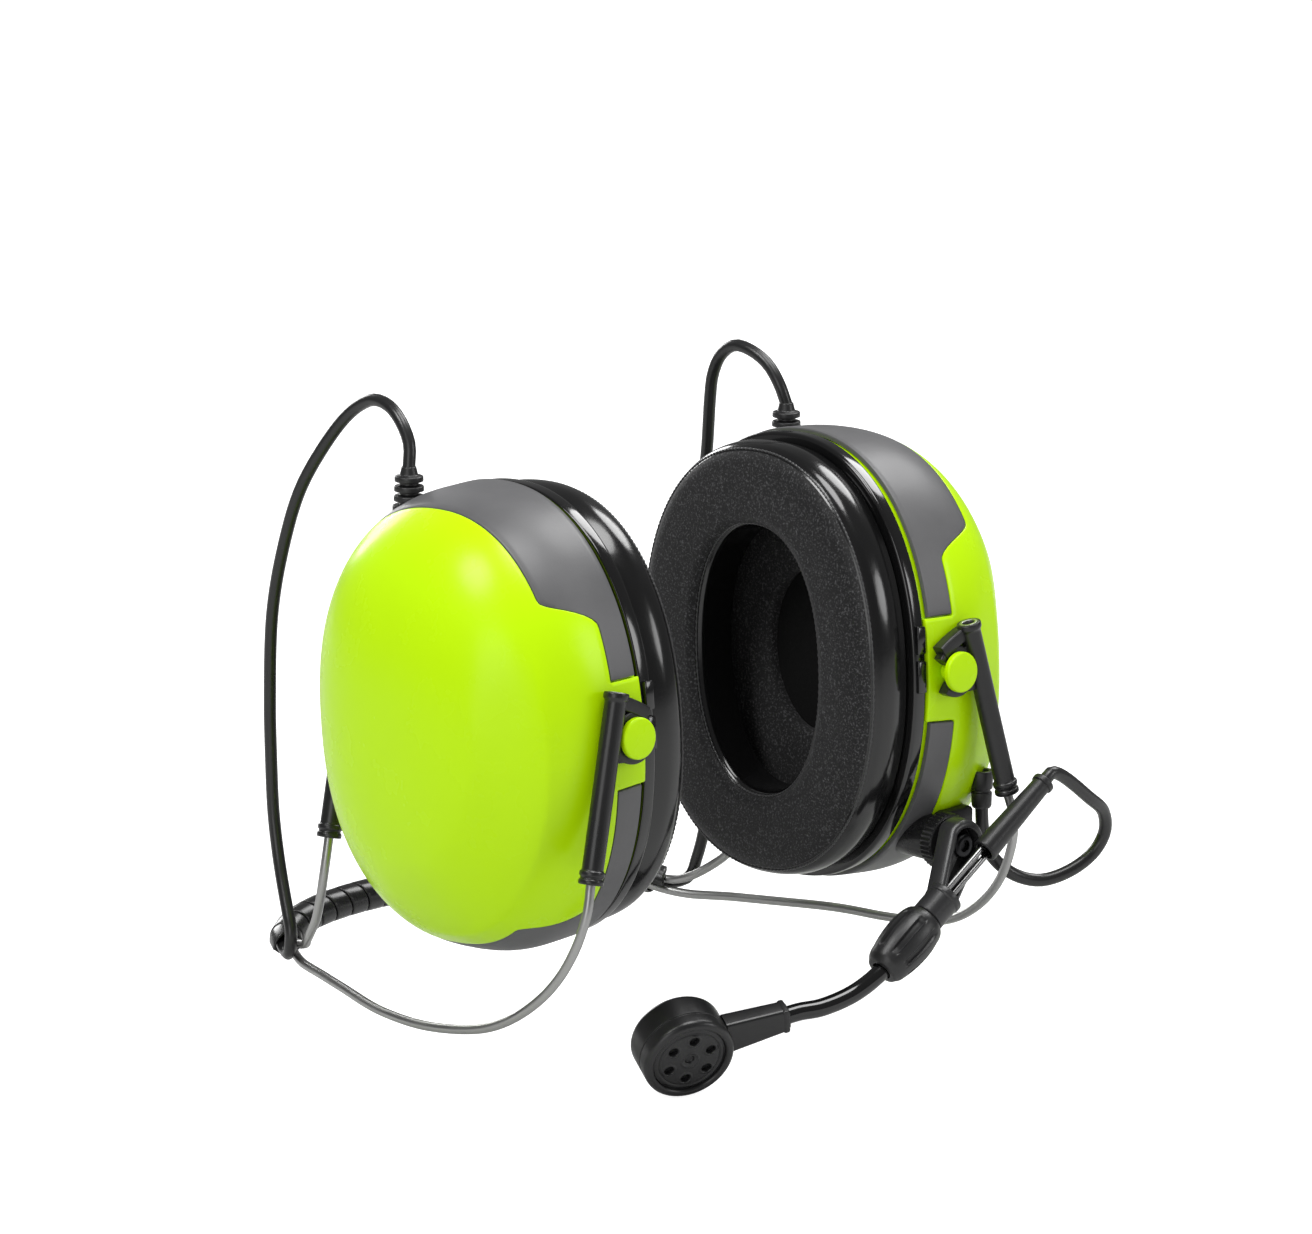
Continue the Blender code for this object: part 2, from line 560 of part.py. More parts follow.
def build_cup(word, side, finishes, cup, slider):
    outer_shell(word + "_outer_shell", side, finishes["green"], cup)
    cover(word + "_top_cover", side, TOP_TAB_HALF, 180 - TOP_TAB_HALF, finishes["grey"], cup)
    cover(word + "_bottom_cover", side, 180 + BOTTOM_TAB_HALF, 360 - BOTTOM_TAB_HALF, finishes["grey"], cup)
    cup_plate(word + "_cup_plate", side, finishes["black_gloss"], cup)
    ear_cushion(word + "_ear_cushion", side, finishes["cushion"], cup)
    foam_liner(word + "_foam_liner", side, finishes["foam"], cup)
    speaker_parts(word, side, finishes, cup)
    strain_relief(word + "_cable_relief", side, finishes["rubber"], cup)
    for place, end in (("front", -1), ("rear", 1)):
        pivot_cap(f"{word}_{place}_pivot_cap", side, end, finishes["green"], cup)
        arm(f"{word}_{place}_guide_tube", side, end, finishes["black_satin"], slider)


def wrap_frame(route):
    """Centre line of the spiral wrap with a sideways and an upward unit vector at each point."""
    tangent = np.gradient(route, axis=0)
    tangent /= np.linalg.norm(tangent, axis=1)[:, None]
    sideways = np.cross(tangent, (0, 0, 1))
    sideways /= np.linalg.norm(sideways, axis=1)[:, None]
    return sideways, np.cross(sideways, tangent)


def sagged(points, side):
    """The route on one side, with the back of the band lowered on the left and raised on the right."""
    placed = mirrored(points, side)
    placed[:, 2] -= NECK_TWIST * placed[:, 0] * np.clip((placed[:, 1] - 20) / 45, 0, 1)
    return list(placed)


def wrap_centre():
    return smooth_route(sagged(WRAP_ROUTE, 1) + [np.array(WRAP_MIDDLE)] + sagged(WRAP_ROUTE, -1)[::-1],
                        WIRE_SPACING)


def in_wrap(sideways, upward, centre, vectors):
    """A member's line inside the wrap, offset from the centre line."""
    side, up = vectors
    return centre + side * sideways + up * upward


def outside_part(route, first, second):
    """A smooth route that heads into the wrap's first two points and stops just short of them."""
    smooth = smooth_route(route + [first, second], WIRE_SPACING)
    keep_off = np.linalg.norm(second - first) * 1.35
    return smooth[np.linalg.norm(smooth - second, axis=1) > keep_off]


def through_wrap(left, inside, right):
    """A route into the wrap, the member's own points inside it, and out on the other side."""
    into = outside_part(left, inside[0], inside[1])
    out = outside_part(right, inside[-1], inside[-2])
    return np.concatenate([into, inside, out[::-1]])


def neck_parts(finishes, sliders):
    centre = wrap_centre()
    vectors = wrap_frame(centre)
    inward, high = -1.35, 1.4
    for name, end, route, height in (("front_neck_wire", -1, FRONT_WIRE_ROUTE, -high),
                                     ("rear_neck_wire", 1, REAR_WIRE_ROUTE, high)):
        inside = in_wrap(inward, height, centre, vectors)
        top, down = tube_line(end)
        ends = []
        for side, slider in sliders:
            start = frame_point(slider, mirrored(top, side))
            way = frame_way(slider, mirrored(down, side))
            straight = [start + way * along for along in (WIRE_TUCK, 24.0, TUBE_LENGTH, TUBE_LENGTH + 8.0)]
            ends.append(straight + sagged(route, side))
        path = through_wrap(ends[0], inside, ends[1])
        tube(name, path, WIRE_RADIUS, finishes["steel"])
    middle = in_wrap(-inward, 0.0, centre, vectors)
    tube("link_cable_middle", middle[1:-1], LINK_RADIUS, finishes["rubber"])
    wrap(centre, vectors, finishes["black_satin"])
    return middle


def wrap(centre, vectors, finish):
    """The spiral wrap as a plain open pipe round the wires and the cable."""
    side, up = vectors
    angles = np.linspace(0, 2 * math.pi, 12, endpoint=False)

    def ring(k, radius):
        return centre[k] + radius * (np.outer(np.cos(angles), side[k]) + np.outer(np.sin(angles), up[k]))
    outside = [ring(k, WRAP_RADIUS) for k in range(len(centre))]
    inside = [ring(k, WRAP_RADIUS - WRAP_WALL) for k in reversed(range(len(centre)))]
    return loft("neck_wrap", outside + inside, finish, closed=True)


def link_loops(finishes, cups, middle):
    foot, way = relief_line()
    for name, side, cup, route, mouth, inner in (
            ("left_link_cable", 1, cups[0], LEFT_LINK_ROUTE, middle[0], middle[1]),
            ("right_link_cable", -1, cups[1], RIGHT_LINK_ROUTE, middle[-1], middle[-2])):
        start = frame_point(cup, mirrored(foot + way * (RELIEF_LENGTH + 2 * GAP), side))
        rise = frame_point(cup, mirrored(foot + way * (RELIEF_LENGTH + 3.0), side))
        stop = inner - unit(inner - mouth) * 3 * GAP
        path = outside_part([start, rise] + list(route), mouth, inner)
        tube(name, np.concatenate([path, [mouth, stop]]), LINK_RADIUS, finishes["rubber"])


def boom_way():
    drop = math.radians(BOOM_DROP)
    return np.array([-math.cos(drop), 0.0, -math.sin(drop)])


def boom_mount(finishes, cup):
    """A round boss and a block on the left shell's lower front; both follow the shell's curve."""
    made = block("boom_mount", (SWING_X + 1.3, MOUNT_FACE + 0.6, SWING_Z - 3.7),
                 (SWING_X + 12.6, MOUNT_FACE + 13.5, SWING_Z + 6.4), finishes["black_satin"], cup)
    boss = turned("boss", (SWING_X, MOUNT_FACE, SWING_Z), (0, 1, 0),
                  [(0, BOSS_RADIUS), (BOSS_DEPTH, BOSS_RADIUS)], finishes["steel"], cup, sides=40)
    combine(made, boss, "UNION")
    combine(made, cup_former(1, finishes["green"], cup), "DIFFERENCE")
    socket = turned("socket", (SWING_X, MOUNT_FACE - 1, SWING_Z), (0, 1, 0),
                    [(0, SCREW_RADIUS + GAP), (5.5, SCREW_RADIUS + GAP)], finishes["steel"], cup, sides=12)
    combine(made, socket, "DIFFERENCE")
    return made


def boom_clamp(finishes, holder):
    """Knurled disc and its screw, both on the swing axis."""
    axis = (0, -1, 0)
    start = (SWING_X, MOUNT_FACE - GAP, SWING_Z)
    bore = SCREW_RADIUS + GAP
    turned("boom_disc", start, axis,
           [(0, bore), (0, DISC_RADIUS - 0.5), (0.5, DISC_RADIUS), (DISC_THICK - 0.5, DISC_RADIUS),
            (DISC_THICK, DISC_RADIUS - 0.5), (DISC_THICK, bore)], finishes["black_satin"], holder,
           sides=24, closed=True)
    eye_front = MOUNT_FACE - 2 * GAP - DISC_THICK - EYE_THICK
    under_head = eye_front + EYE_POCKET[1] - GAP
    shank = SCREW_DEPTH + EYE_THICK + DISC_THICK - EYE_POCKET[1]
    turned("boom_screw", (SWING_X, under_head + shank, SWING_Z), axis,
           [(0, SCREW_RADIUS), (shank, SCREW_RADIUS), (shank, HEAD_RADIUS),
            (shank + HEAD_THICK, HEAD_RADIUS - 0.5)],
           finishes["steel_dark"], holder, sides=16)


def boom_holder(finishes, holder):
    """Keyhole lever: eye on the swing axis, tapering arm, collar round the rods."""
    way = boom_way()
    eye_back = MOUNT_FACE - 2 * GAP - DISC_THICK
    finish = finishes["black_satin"]
    eye = np.array([SWING_X, eye_back, SWING_Z])
    made = turned("boom_holder", eye, (0, -1, 0), [(0, EYE_RADIUS), (EYE_THICK, EYE_RADIUS)], finish, holder,
                  sides=24)
    collar = np.array(COLLAR_CENTRE)
    middle = eye + (0, -EYE_THICK / 2, 0)
    run = unit(collar - middle)
    flat = unit(np.cross(run, (0, 1, 0)))
    thick = np.cross(flat, run)
    span = np.linalg.norm(collar - middle)
    corners = np.array([(-1, -1), (1, -1), (1, 1), (-1, 1)])
    rings = []
    for share, wide, deep in ((0.05, 5.4, 2.4), (0.35, 4.9, 2.6), (0.7, 3.7, 2.9), (0.97, 3.2, 2.9)):
        spot = middle + run * span * share
        rings.append([spot + flat * wide * cx + thick * deep * cy for cx, cy in corners])
    combine(made, loft("arm", rings, finish, holder), "UNION")
    ring = turned("ring", collar - way * COLLAR_HALF, way,
                  [(0, COLLAR_RADIUS - 0.6), (1.0, COLLAR_RADIUS), (2 * COLLAR_HALF, COLLAR_RADIUS)],
                  finish, holder, sides=16)
    combine(made, ring, "UNION")
    bore = turned("bore", collar - way * 26, way, [(0, 2.4), (36, 2.4)], finish, holder, sides=12)
    combine(made, bore, "DIFFERENCE")
    pocket = turned("pocket", eye + (0, -EYE_THICK - 12, 0), (0, 1, 0),
                    [(0, EYE_POCKET[0]), (12 + EYE_POCKET[1], EYE_POCKET[0])], finish, holder, sides=20)
    combine(made, pocket, "DIFFERENCE")
    hole = turned("hole", eye + (0, 1, 0), (0, -1, 0),
                  [(0, SCREW_RADIUS + GAP), (EYE_THICK + 2, SCREW_RADIUS + GAP)], finish, holder, sides=12)
    combine(made, hole, "DIFFERENCE")
    return made


def boom_sliding_parts(finishes, reach, grip_frame):
    way = boom_way()
    collar = np.array(COLLAR_CENTRE)
    grip_start = COLLAR_HALF + GAP
    half = GRIP_LENGTH / 2
    turned("boom_grip", collar + way * grip_start, way,
           [(0, 2.6), (0, 4.6), (1.2, 5.2), (half * 0.6, GRIP_RADIUS), (half * 1.4, GRIP_RADIUS),
            (GRIP_LENGTH - 2, 5.0), (GRIP_LENGTH, 4.0), (GRIP_LENGTH, 2.6)], finishes["rubber"], grip_frame,
           sides=20, closed=True)
    upward = np.cross(way, (0, 1, 0))
    rod_end = grip_start + GRIP_LENGTH - 6.0
    for name, offset in (("boom_rod_upper", ROD_SPACING / 2), ("boom_rod_lower", -ROD_SPACING / 2)):
        start = collar + way * (SLEEVE_START - 5.0) + upward * offset
        turned(name, start, way, [(0, ROD_RADIUS), (rod_end - SLEEVE_START + 5.0, ROD_RADIUS)],
               finishes["steel"], reach, sides=10)
    base = collar + way * SLEEVE_START
    sleeve = turned("boom_sleeve", base, -way,
                    [(0, SLEEVE_RADII[0]), (SLEEVE_LENGTH - 1.5, SLEEVE_RADII[1]),
                     (SLEEVE_LENGTH - 1.5, SLEEVE_RADII[1] + 0.4), (SLEEVE_LENGTH, SLEEVE_RADII[1] + 0.4)],
                    finishes["rubber"], reach, sides=16)
    pocket = turned("pocket", base + way, -way, [(0, 2.4), (6.8, 2.4)], finishes["rubber"], reach, sides=12)
    combine(sleeve, pocket, "DIFFERENCE")
    start = collar + way * (rod_end + GAP)
    leave = collar + way * (grip_start + GRIP_LENGTH + 1.0)
    length, height, thick = MIC_BAR
    bar_way, bar_up, normal = microphone_axes()
    bar_end = np.array(MIC_CENTRE) - bar_way * (MIC_RADIUS + 0.1)
    bar_start = bar_end - bar_way * length
    bends = list(collar + GOOSENECK_STEPS)
    route = [start, leave] + bends + [bar_start - bar_way * 3.0, bar_start - bar_way * GAP]
    tube("boom_gooseneck", smooth_route(route, 4.0), NECK_RADIUS, finishes["black_gloss"])
    bar_rings = []
    for spot, tall in ((bar_start, height * 0.78), (bar_end, height * 1.12)):
        bar_rings.append([spot + bar_up * cy * tall / 2 + normal * cx * thick / 2
                          for cx, cy in ((-1, -1), (1, -1), (1, 1), (-1, 1))])
    bar = loft("microphone_neck", bar_rings, finishes["black_satin"], reach)
    centre = np.array(MIC_CENTRE)
    reach_round = turned("clearance", centre - normal * 9, normal,
                         [(0, MIC_RADIUS + GAP), (18, MIC_RADIUS + GAP)], finishes["steel"], reach, sides=24)
    combine(bar, reach_round, "DIFFERENCE")
    microphone(finishes, reach)
    return base - way * SLEEVE_LENGTH


def microphone_axes():
    """Along the neck towards the capsule, upward, and the way the capsule faces."""
    normal = unit(MIC_NORMAL)
    along = unit((-0.885, 0.42, -0.2))
    along = unit(along - normal * np.dot(along, normal))
    return along, np.cross(along, normal) * -1.0, normal


def microphone(finishes, reach):
    along, upward, normal = microphone_axes()
    centre = np.array(MIC_CENTRE)
    half = MIC_LENGTH / 2
    inner = MIC_RADIUS - MIC_WALL
    back = centre - normal * half
    turned("microphone_housing", back, normal,
           [(0, MIC_RADIUS - 1.2), (1.2, MIC_RADIUS), (MIC_LENGTH - 0.6, MIC_RADIUS),
            (MIC_LENGTH, MIC_RADIUS - 0.6), (MIC_LENGTH, inner), (MIC_WALL * 1.5, inner),
            (MIC_WALL * 1.5, inner - 1.0)], finishes["black_gloss"], reach, sides=24)
    face_back = MIC_LENGTH - 2.4
    face = turned("microphone_face", back + normal * face_back, normal,
                  [(0, inner - GAP), (1.2, inner - GAP), (1.6, inner - GAP - 1.4)], finishes["black_satin"],
                  reach, sides=24)
    for k in range(6):
        turn = math.radians(60 * k + 15)
        spot = back + (along * math.cos(turn) + upward * math.sin(turn)) * 5.6
        hole = turned("hole", spot + normal * (face_back - 1), normal, [(0, 1.15), (4, 1.15)],
                      finishes["steel"], reach, sides=8)
        combine(face, hole, "DIFFERENCE")
    turned("microphone_element", back + normal * (face_back - 5.0 - GAP), normal,
           [(0, 4.5), (0.3, 4.85), (4.7, 4.85), (5.0, 4.5)], finishes["steel"], reach, sides=16)


def cable_gland(finishes, cup):
    """Short gland where the microphone's cable leaves the left cup."""
    tip = np.array(GLAND_TIP)
    made = turned("mic_cable_gland", tip, (0, 0, 1), [(0, 2.2), (0.6, 2.5), (12.0, 2.9)],
                  finishes["rubber"], cup, sides=12)
    return combine(made, cup_former(1, finishes["green"], cup), "DIFFERENCE")


def build():
    clear_scene()
    finishes = {
        "green": material("safety_green", (0.50, 0.93, 0.0), 0.35),
        "grey": material("cover_grey", (0.13, 0.13, 0.13), 0.5),
        "grey_inner": material("inner_grey", (0.2, 0.2, 0.2), 0.6),
        "black_gloss": material("black_gloss", (0.012, 0.012, 0.012), 0.18),
        "black_satin": material("black_satin", (0.02, 0.02, 0.02), 0.42),
        "cushion": material("cushion_black", (0.015, 0.015, 0.015), 0.6),
        "foam": material("foam_black", (0.02, 0.02, 0.02), 0.95),
        "rubber": material("rubber_black", (0.03, 0.03, 0.03), 0.5),
        "steel": material("spring_steel", (0.6, 0.6, 0.6), 0.28, 1.0),
        "steel_dark": material("dark_screw", (0.05, 0.05, 0.05), 0.35, 1.0),
        "board": material("board_green", (0.02, 0.16, 0.06), 0.5),
    }
    cups, sliders = [], []
    for word, side in (("left", 1), ("right", -1)):
        turn = (Matrix.Rotation(math.radians(side * CUP_LEAN), 4, "Y")
                @ Matrix.Rotation(math.radians(-CUP_PITCH), 4, "X"))
        place = Matrix.Translation((side * RIM_OFFSET * MM, 0, 0)) @ turn
        slider = empty(word + "_slider_frame", place)
        pivot = place @ Matrix.Translation(Vector((side * PIVOT_DEPTH, 0, PIVOT_HEIGHT)) * MM)
        tilt = empty(word + "_tilt_axis", pivot, slider)
        cup = empty(word + "_cup_frame", place, tilt)
        build_cup(word, side, finishes, cup, slider)
        cups.append(cup)
        sliders.append((side, slider))
    board = np.array(BOARD_SIZE) / 2
    block("left_circuit_board", (BOARD_DEPTH - board[0], -board[1], -board[2]),
          (BOARD_DEPTH + board[0], board[1], board[2]), finishes["board"], cups[0], True)
    middle = neck_parts(finishes, sliders)
    link_loops(finishes, cups, middle)
    boom_mount(finishes, cups[0])
    cable_gland(finishes, cups[0])
    swing = empty("boom_swing_axis", Matrix.Translation(Vector((SWING_X, MOUNT_FACE, SWING_Z)) * MM), cups[0])
    reach = empty("boom_reach_frame", Matrix.Translation(Vector(COLLAR_CENTRE) * MM), swing)
    grip = empty("boom_grip_axis", Matrix.Translation(Vector(COLLAR_CENTRE) * MM), swing)
    boom_clamp(finishes, swing)
    boom_holder(finishes, swing)
    sleeve_top = boom_sliding_parts(finishes, reach, grip)
    way = boom_way()
    route = [np.array(GLAND_TIP) - (0, 0, GAP)] + list(np.array(GLAND_TIP) + MIC_CABLE_STEPS)
    route += [sleeve_top - way * 3.0, sleeve_top - way * GAP]
    tube("mic_cable", smooth_route(route, 4.0), MIC_CABLE_RADIUS, finishes["rubber"])


build()
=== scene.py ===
import math

import bpy
import numpy as np
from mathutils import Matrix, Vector


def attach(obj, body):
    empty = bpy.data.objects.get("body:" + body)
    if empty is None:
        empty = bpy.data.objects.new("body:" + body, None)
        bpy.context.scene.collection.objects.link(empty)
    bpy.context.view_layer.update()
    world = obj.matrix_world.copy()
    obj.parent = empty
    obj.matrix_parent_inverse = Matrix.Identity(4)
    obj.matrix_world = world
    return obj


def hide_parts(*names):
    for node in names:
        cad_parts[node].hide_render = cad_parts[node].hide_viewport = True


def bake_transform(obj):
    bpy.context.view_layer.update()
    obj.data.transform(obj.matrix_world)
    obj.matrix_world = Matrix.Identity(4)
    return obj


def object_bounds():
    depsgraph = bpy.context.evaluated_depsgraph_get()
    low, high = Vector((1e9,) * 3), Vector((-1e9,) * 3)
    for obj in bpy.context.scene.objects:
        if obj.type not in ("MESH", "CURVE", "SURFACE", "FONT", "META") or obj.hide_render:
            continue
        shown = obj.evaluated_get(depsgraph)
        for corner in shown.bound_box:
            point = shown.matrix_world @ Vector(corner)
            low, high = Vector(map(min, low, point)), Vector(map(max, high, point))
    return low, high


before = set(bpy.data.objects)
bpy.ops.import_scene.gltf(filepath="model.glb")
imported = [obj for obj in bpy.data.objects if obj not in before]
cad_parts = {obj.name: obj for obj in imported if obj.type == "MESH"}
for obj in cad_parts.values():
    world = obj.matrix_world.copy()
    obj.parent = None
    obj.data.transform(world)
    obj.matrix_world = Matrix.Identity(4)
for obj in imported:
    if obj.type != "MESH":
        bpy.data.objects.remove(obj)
boxBefore = [list(corner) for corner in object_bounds()]
mm = 0.001        # lengths below are in millimetres, and become metres as each mesh is made
print("frame loaded:", len(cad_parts), "nodes")


# small tools for surfaces worked out as whole arrays

def unitVector(vector):
    vector = np.asarray(vector, float)
    return vector / np.linalg.norm(vector, axis=-1, keepdims=True)


def shapeVolume(points, faces):
    # sum of the tetrahedra from the origin to each triangle, which is negative when the faces point inwards
    fans = [(face[0], a, b) for face in faces for a, b in zip(face[1:], face[2:])]
    corner = points[np.array(fans)]
    return np.einsum("ij,ij->i", corner[:, 0], np.cross(corner[:, 1], corner[:, 2])).sum() / 6


def gridShape(grid, loopRows=False, loopColumns=True, capEnds=True):
    # quads between neighbouring points of a rows x columns grid; open end rows are closed by a fan to their middle
    grid = np.asarray(grid, float)
    rows, columns = grid.shape[:2]
    points = grid.reshape(-1, 3)
    index = np.arange(rows * columns).reshape(rows, columns)
    lower = index if loopRows else index[:-1]
    upper = np.roll(index, -1, 0) if loopRows else index[1:]
    if loopColumns:
        quads = np.stack([lower, np.roll(lower, -1, 1), np.roll(upper, -1, 1), upper], -1)
    else:
        quads = np.stack([lower[:, :-1], lower[:, 1:], upper[:, 1:], upper[:, :-1]], -1)
    faces = quads.reshape(-1, 4).tolist()
    if capEnds and not loopRows:
        for row, ring in ((0, index[0]), (-1, index[-1])):
            middle = len(points)
            points = np.vstack([points, grid[row].mean(0)])
            turn = np.stack([ring, np.full(columns, middle), np.roll(ring, -1)], -1)
            if row == -1:
                turn = turn[:, ::-1]
            faces += turn.tolist()
    if shapeVolume(points - points.mean(0), faces) < 0:
        faces = [face[::-1] for face in faces]
    return points, faces


def joinShapes(shapes):
    points, faces, first = [], [], 0
    for shapePoints, shapeFaces in shapes:
        points.append(shapePoints)
        faces += [[k + first for k in face] for face in shapeFaces]
        first += len(shapePoints)
    return np.vstack(points), faces


def softCorners(line, radius, steps=3, closed=True):
    # every corner of a flat line gives way to a quadratic curve that starts and ends one radius from it
    line = np.asarray(line, float)
    radius = np.broadcast_to(radius, len(line))
    soft = []
    for k, corner in enumerate(line):
        if radius[k] == 0 or (not closed and k in (0, len(line) - 1)):
            soft.append(corner)
            continue
        before, after = line[k - 1] - corner, line[(k + 1) % len(line)] - corner
        reachBefore, reachAfter = np.linalg.norm(before), np.linalg.norm(after)
        start = corner + before / reachBefore * min(radius[k], reachBefore * 0.49)
        end = corner + after / reachAfter * min(radius[k], reachAfter * 0.49)
        for t in np.linspace(0, 1, steps + 1):
            soft.append((1 - t) ** 2 * start + 2 * t * (1 - t) * corner + t * t * end)
    return np.array(soft)


def smoothRoute(points, spacing):
    # centripetal Catmull-Rom curve through the points, read off at an even spacing
    points = [np.asarray(p, float) for p in points]
    points = [2 * points[0] - points[1]] + points + [2 * points[-1] - points[-2]]
    dense = []
    for p0, p1, p2, p3 in zip(points, points[1:], points[2:], points[3:]):
        t0 = 0.0
        t1 = t0 + np.linalg.norm(p1 - p0) ** 0.5
        t2 = t1 + np.linalg.norm(p2 - p1) ** 0.5
        t3 = t2 + np.linalg.norm(p3 - p2) ** 0.5
        t = np.linspace(t1, t2, 24, endpoint=False)[:, None]
        a1 = (t1 - t) / (t1 - t0) * p0 + (t - t0) / (t1 - t0) * p1
        a2 = (t2 - t) / (t2 - t1) * p1 + (t - t1) / (t2 - t1) * p2
        a3 = (t3 - t) / (t3 - t2) * p2 + (t - t2) / (t3 - t2) * p3
        b1 = (t2 - t) / (t2 - t0) * a1 + (t - t0) / (t2 - t0) * a2
        b2 = (t3 - t) / (t3 - t1) * a2 + (t - t1) / (t3 - t1) * a3
        dense.append((t2 - t) / (t2 - t1) * b1 + (t - t1) / (t2 - t1) * b2)
    dense = np.vstack(dense + [points[-2][None]])
    return evenPoints(dense, spacing)


def evenPoints(line, spacing):
    travelled = np.concatenate([[0], np.cumsum(np.linalg.norm(np.diff(line, axis=0), axis=1))])
    count = max(3, int(round(travelled[-1] / spacing)) + 1)
    wanted = np.linspace(0, travelled[-1], count)
    return np.stack([np.interp(wanted, travelled, line[:, k]) for k in range(3)], 1)


def carriedAxes(path, first=(0.0, 0.0, 1.0)):
    # the side and up directions at each point of a path, carried along it without turning about it
    tangent = unitVector(np.gradient(path, axis=0))
    up = np.array(first, float)
    if abs(np.dot(up, tangent[0])) > 0.9:
        up = np.array((0.0, 1.0, 0.0))
    ups = []
    for way in tangent:
        up = unitVector(up - way * np.dot(up, way))
        ups.append(up)
    ups = np.array(ups)
    return np.cross(ups, tangent), ups, tangent


def sweptShape(path, profile, first=(0.0, 0.0, 1.0), capEnds=True):
    # a closed profile (across, up) carried along a path; profile may have one row of points per path point
    side, up, _ = carriedAxes(path, first)
    profile = np.broadcast_to(profile, (len(path),) + np.shape(profile)[-2:])
    grid = path[:, None] + profile[..., :1] * side[:, None] + profile[..., 1:] * up[:, None]
    return gridShape(grid, capEnds=capEnds)


def circleProfile(radius, sides=16):
    turn = np.linspace(0, 2 * math.pi, sides, endpoint=False)
    radius = np.asarray(radius, float)[..., None]
    return np.stack([radius * np.cos(turn), radius * np.sin(turn)], -1)


def turnedShape(start, direction, profile, sides=48, closed=False, wave=None):
    # a profile of (distance along, radius) turned about a direction; wave adds to the radius at each angle
    direction = unitVector(direction)
    helper = np.array((0.0, 1.0, 0.0)) if abs(direction[1]) < 0.8 else np.array((0.0, 0.0, 1.0))
    side = unitVector(np.cross(helper, direction))
    up = np.cross(direction, side)
    turn = np.linspace(0, 2 * math.pi, sides, endpoint=False)
    profile = np.asarray(profile, float)
    radius = np.repeat(profile[:, 1:], sides, 1)
    if wave is not None:
        radius = radius + wave(turn[None], profile[:, :1])
    circle = np.cos(turn)[:, None] * side + np.sin(turn)[:, None] * up
    grid = np.asarray(start) + direction * profile[:, :1, None] + radius[..., None] * circle
    return gridShape(grid, loopRows=closed)


def boxShape(centre, axes, size, round=0.4, taper=1.0):
    # a rounded rectangle (first two axes) carried along the third, drawn in a little at both ends
    across, up, along = axes
    outline = softCorners([(-0.5, -0.5), (0.5, -0.5), (0.5, 0.5), (-0.5, 0.5)] * np.array(size[:2]), round, 4)
    rows = []
    for share, draw in ((-0.5, round), (-0.5 + round / size[2] * 0.35, round * 0.3), (-0.5 + round / size[2], 0),
                        (0.5 - round / size[2], 0), (0.5 - round / size[2] * 0.35, round * 0.3), (0.5, round)):
        shrink = (1 - 2 * draw / np.array(size[:2])) * (1 + (taper - 1) * (share + 0.5))
        flat = outline * shrink
        rows.append(np.asarray(centre) + flat[:, :1] * across + flat[:, 1:] * up + share * size[2] * along)
    return gridShape(rows)


def makePiece(name, shapes, material, body=None, replaces=(), sharp=38):
    points, faces = joinShapes(shapes if isinstance(shapes, list) else [shapes])
    mesh = bpy.data.meshes.new(name)
    mesh.from_pydata((points * mm).tolist(), [], faces)
    mesh.shade_smooth()
    mesh.set_sharp_from_angle(angle=math.radians(sharp))
    mesh.materials.append(material)
    made = bpy.data.objects.new(name, mesh)
    bpy.context.collection.objects.link(made)
    if body:
        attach(made, body)
    if replaces:
        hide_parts(*replaces)
    return made


# finishes

def startMaterial(name, colour, roughness, metallic=0.0, coat=0.0, coatRoughness=0.1, specular=0.5, sheen=0.0):
    material = bpy.data.materials.new(name)
    material.use_nodes = True
    nodes = material.node_tree.nodes
    shader = nodes["Principled BSDF"]
    shader.inputs["Base Color"].default_value = (*colour, 1.0)
    shader.inputs["Roughness"].default_value = roughness
    shader.inputs["Metallic"].default_value = metallic
    shader.inputs["Coat Weight"].default_value = coat
    shader.inputs["Coat Roughness"].default_value = coatRoughness
    shader.inputs["Specular IOR Level"].default_value = specular
    shader.inputs["Sheen Weight"].default_value = sheen
    return material, nodes, material.node_tree.links, shader


def addNoise(nodes, links, scale, detail=3.0, roughness=0.6, stretch=(1.0, 1.0, 1.0)):
    place = nodes.new("ShaderNodeTexCoord")
    mapping = nodes.new("ShaderNodeMapping")
    mapping.inputs["Scale"].default_value = stretch
    noise = nodes.new("ShaderNodeTexNoise")
    noise.inputs["Scale"].default_value = scale
    noise.inputs["Detail"].default_value = detail
    noise.inputs["Roughness"].default_value = roughness
    links.new(place.outputs["Object"], mapping.inputs["Vector"])
    links.new(mapping.outputs["Vector"], noise.inputs["Vector"])
    return noise.outputs["Fac"]


def addRange(nodes, links, value, low, high, toLow, toHigh):
    change = nodes.new("ShaderNodeMapRange")
    change.inputs["From Min"].default_value = low
    change.inputs["From Max"].default_value = high
    change.inputs["To Min"].default_value = toLow
    change.inputs["To Max"].default_value = toHigh
    links.new(value, change.inputs["Value"])
    return change.outputs["Result"]


def addBump(nodes, links, shader, height, strength, distance):
    bump = nodes.new("ShaderNodeBump")
    bump.inputs["Strength"].default_value = strength
    bump.inputs["Distance"].default_value = distance
    links.new(height, bump.inputs["Height"])
    before = shader.inputs["Normal"].links
    if before:
        links.new(before[0].from_socket, bump.inputs["Normal"])
    links.new(bump.outputs["Normal"], shader.inputs["Normal"])


def addColourMix(nodes, links, shader, share, first, second):
    mix = nodes.new("ShaderNodeMix")
    mix.data_type = "RGBA"
    mix.inputs["A"].default_value = (*first, 1.0)
    mix.inputs["B"].default_value = (*second, 1.0)
    links.new(share, mix.inputs["Factor"])
    links.new(mix.outputs["Result"], shader.inputs["Base Color"])


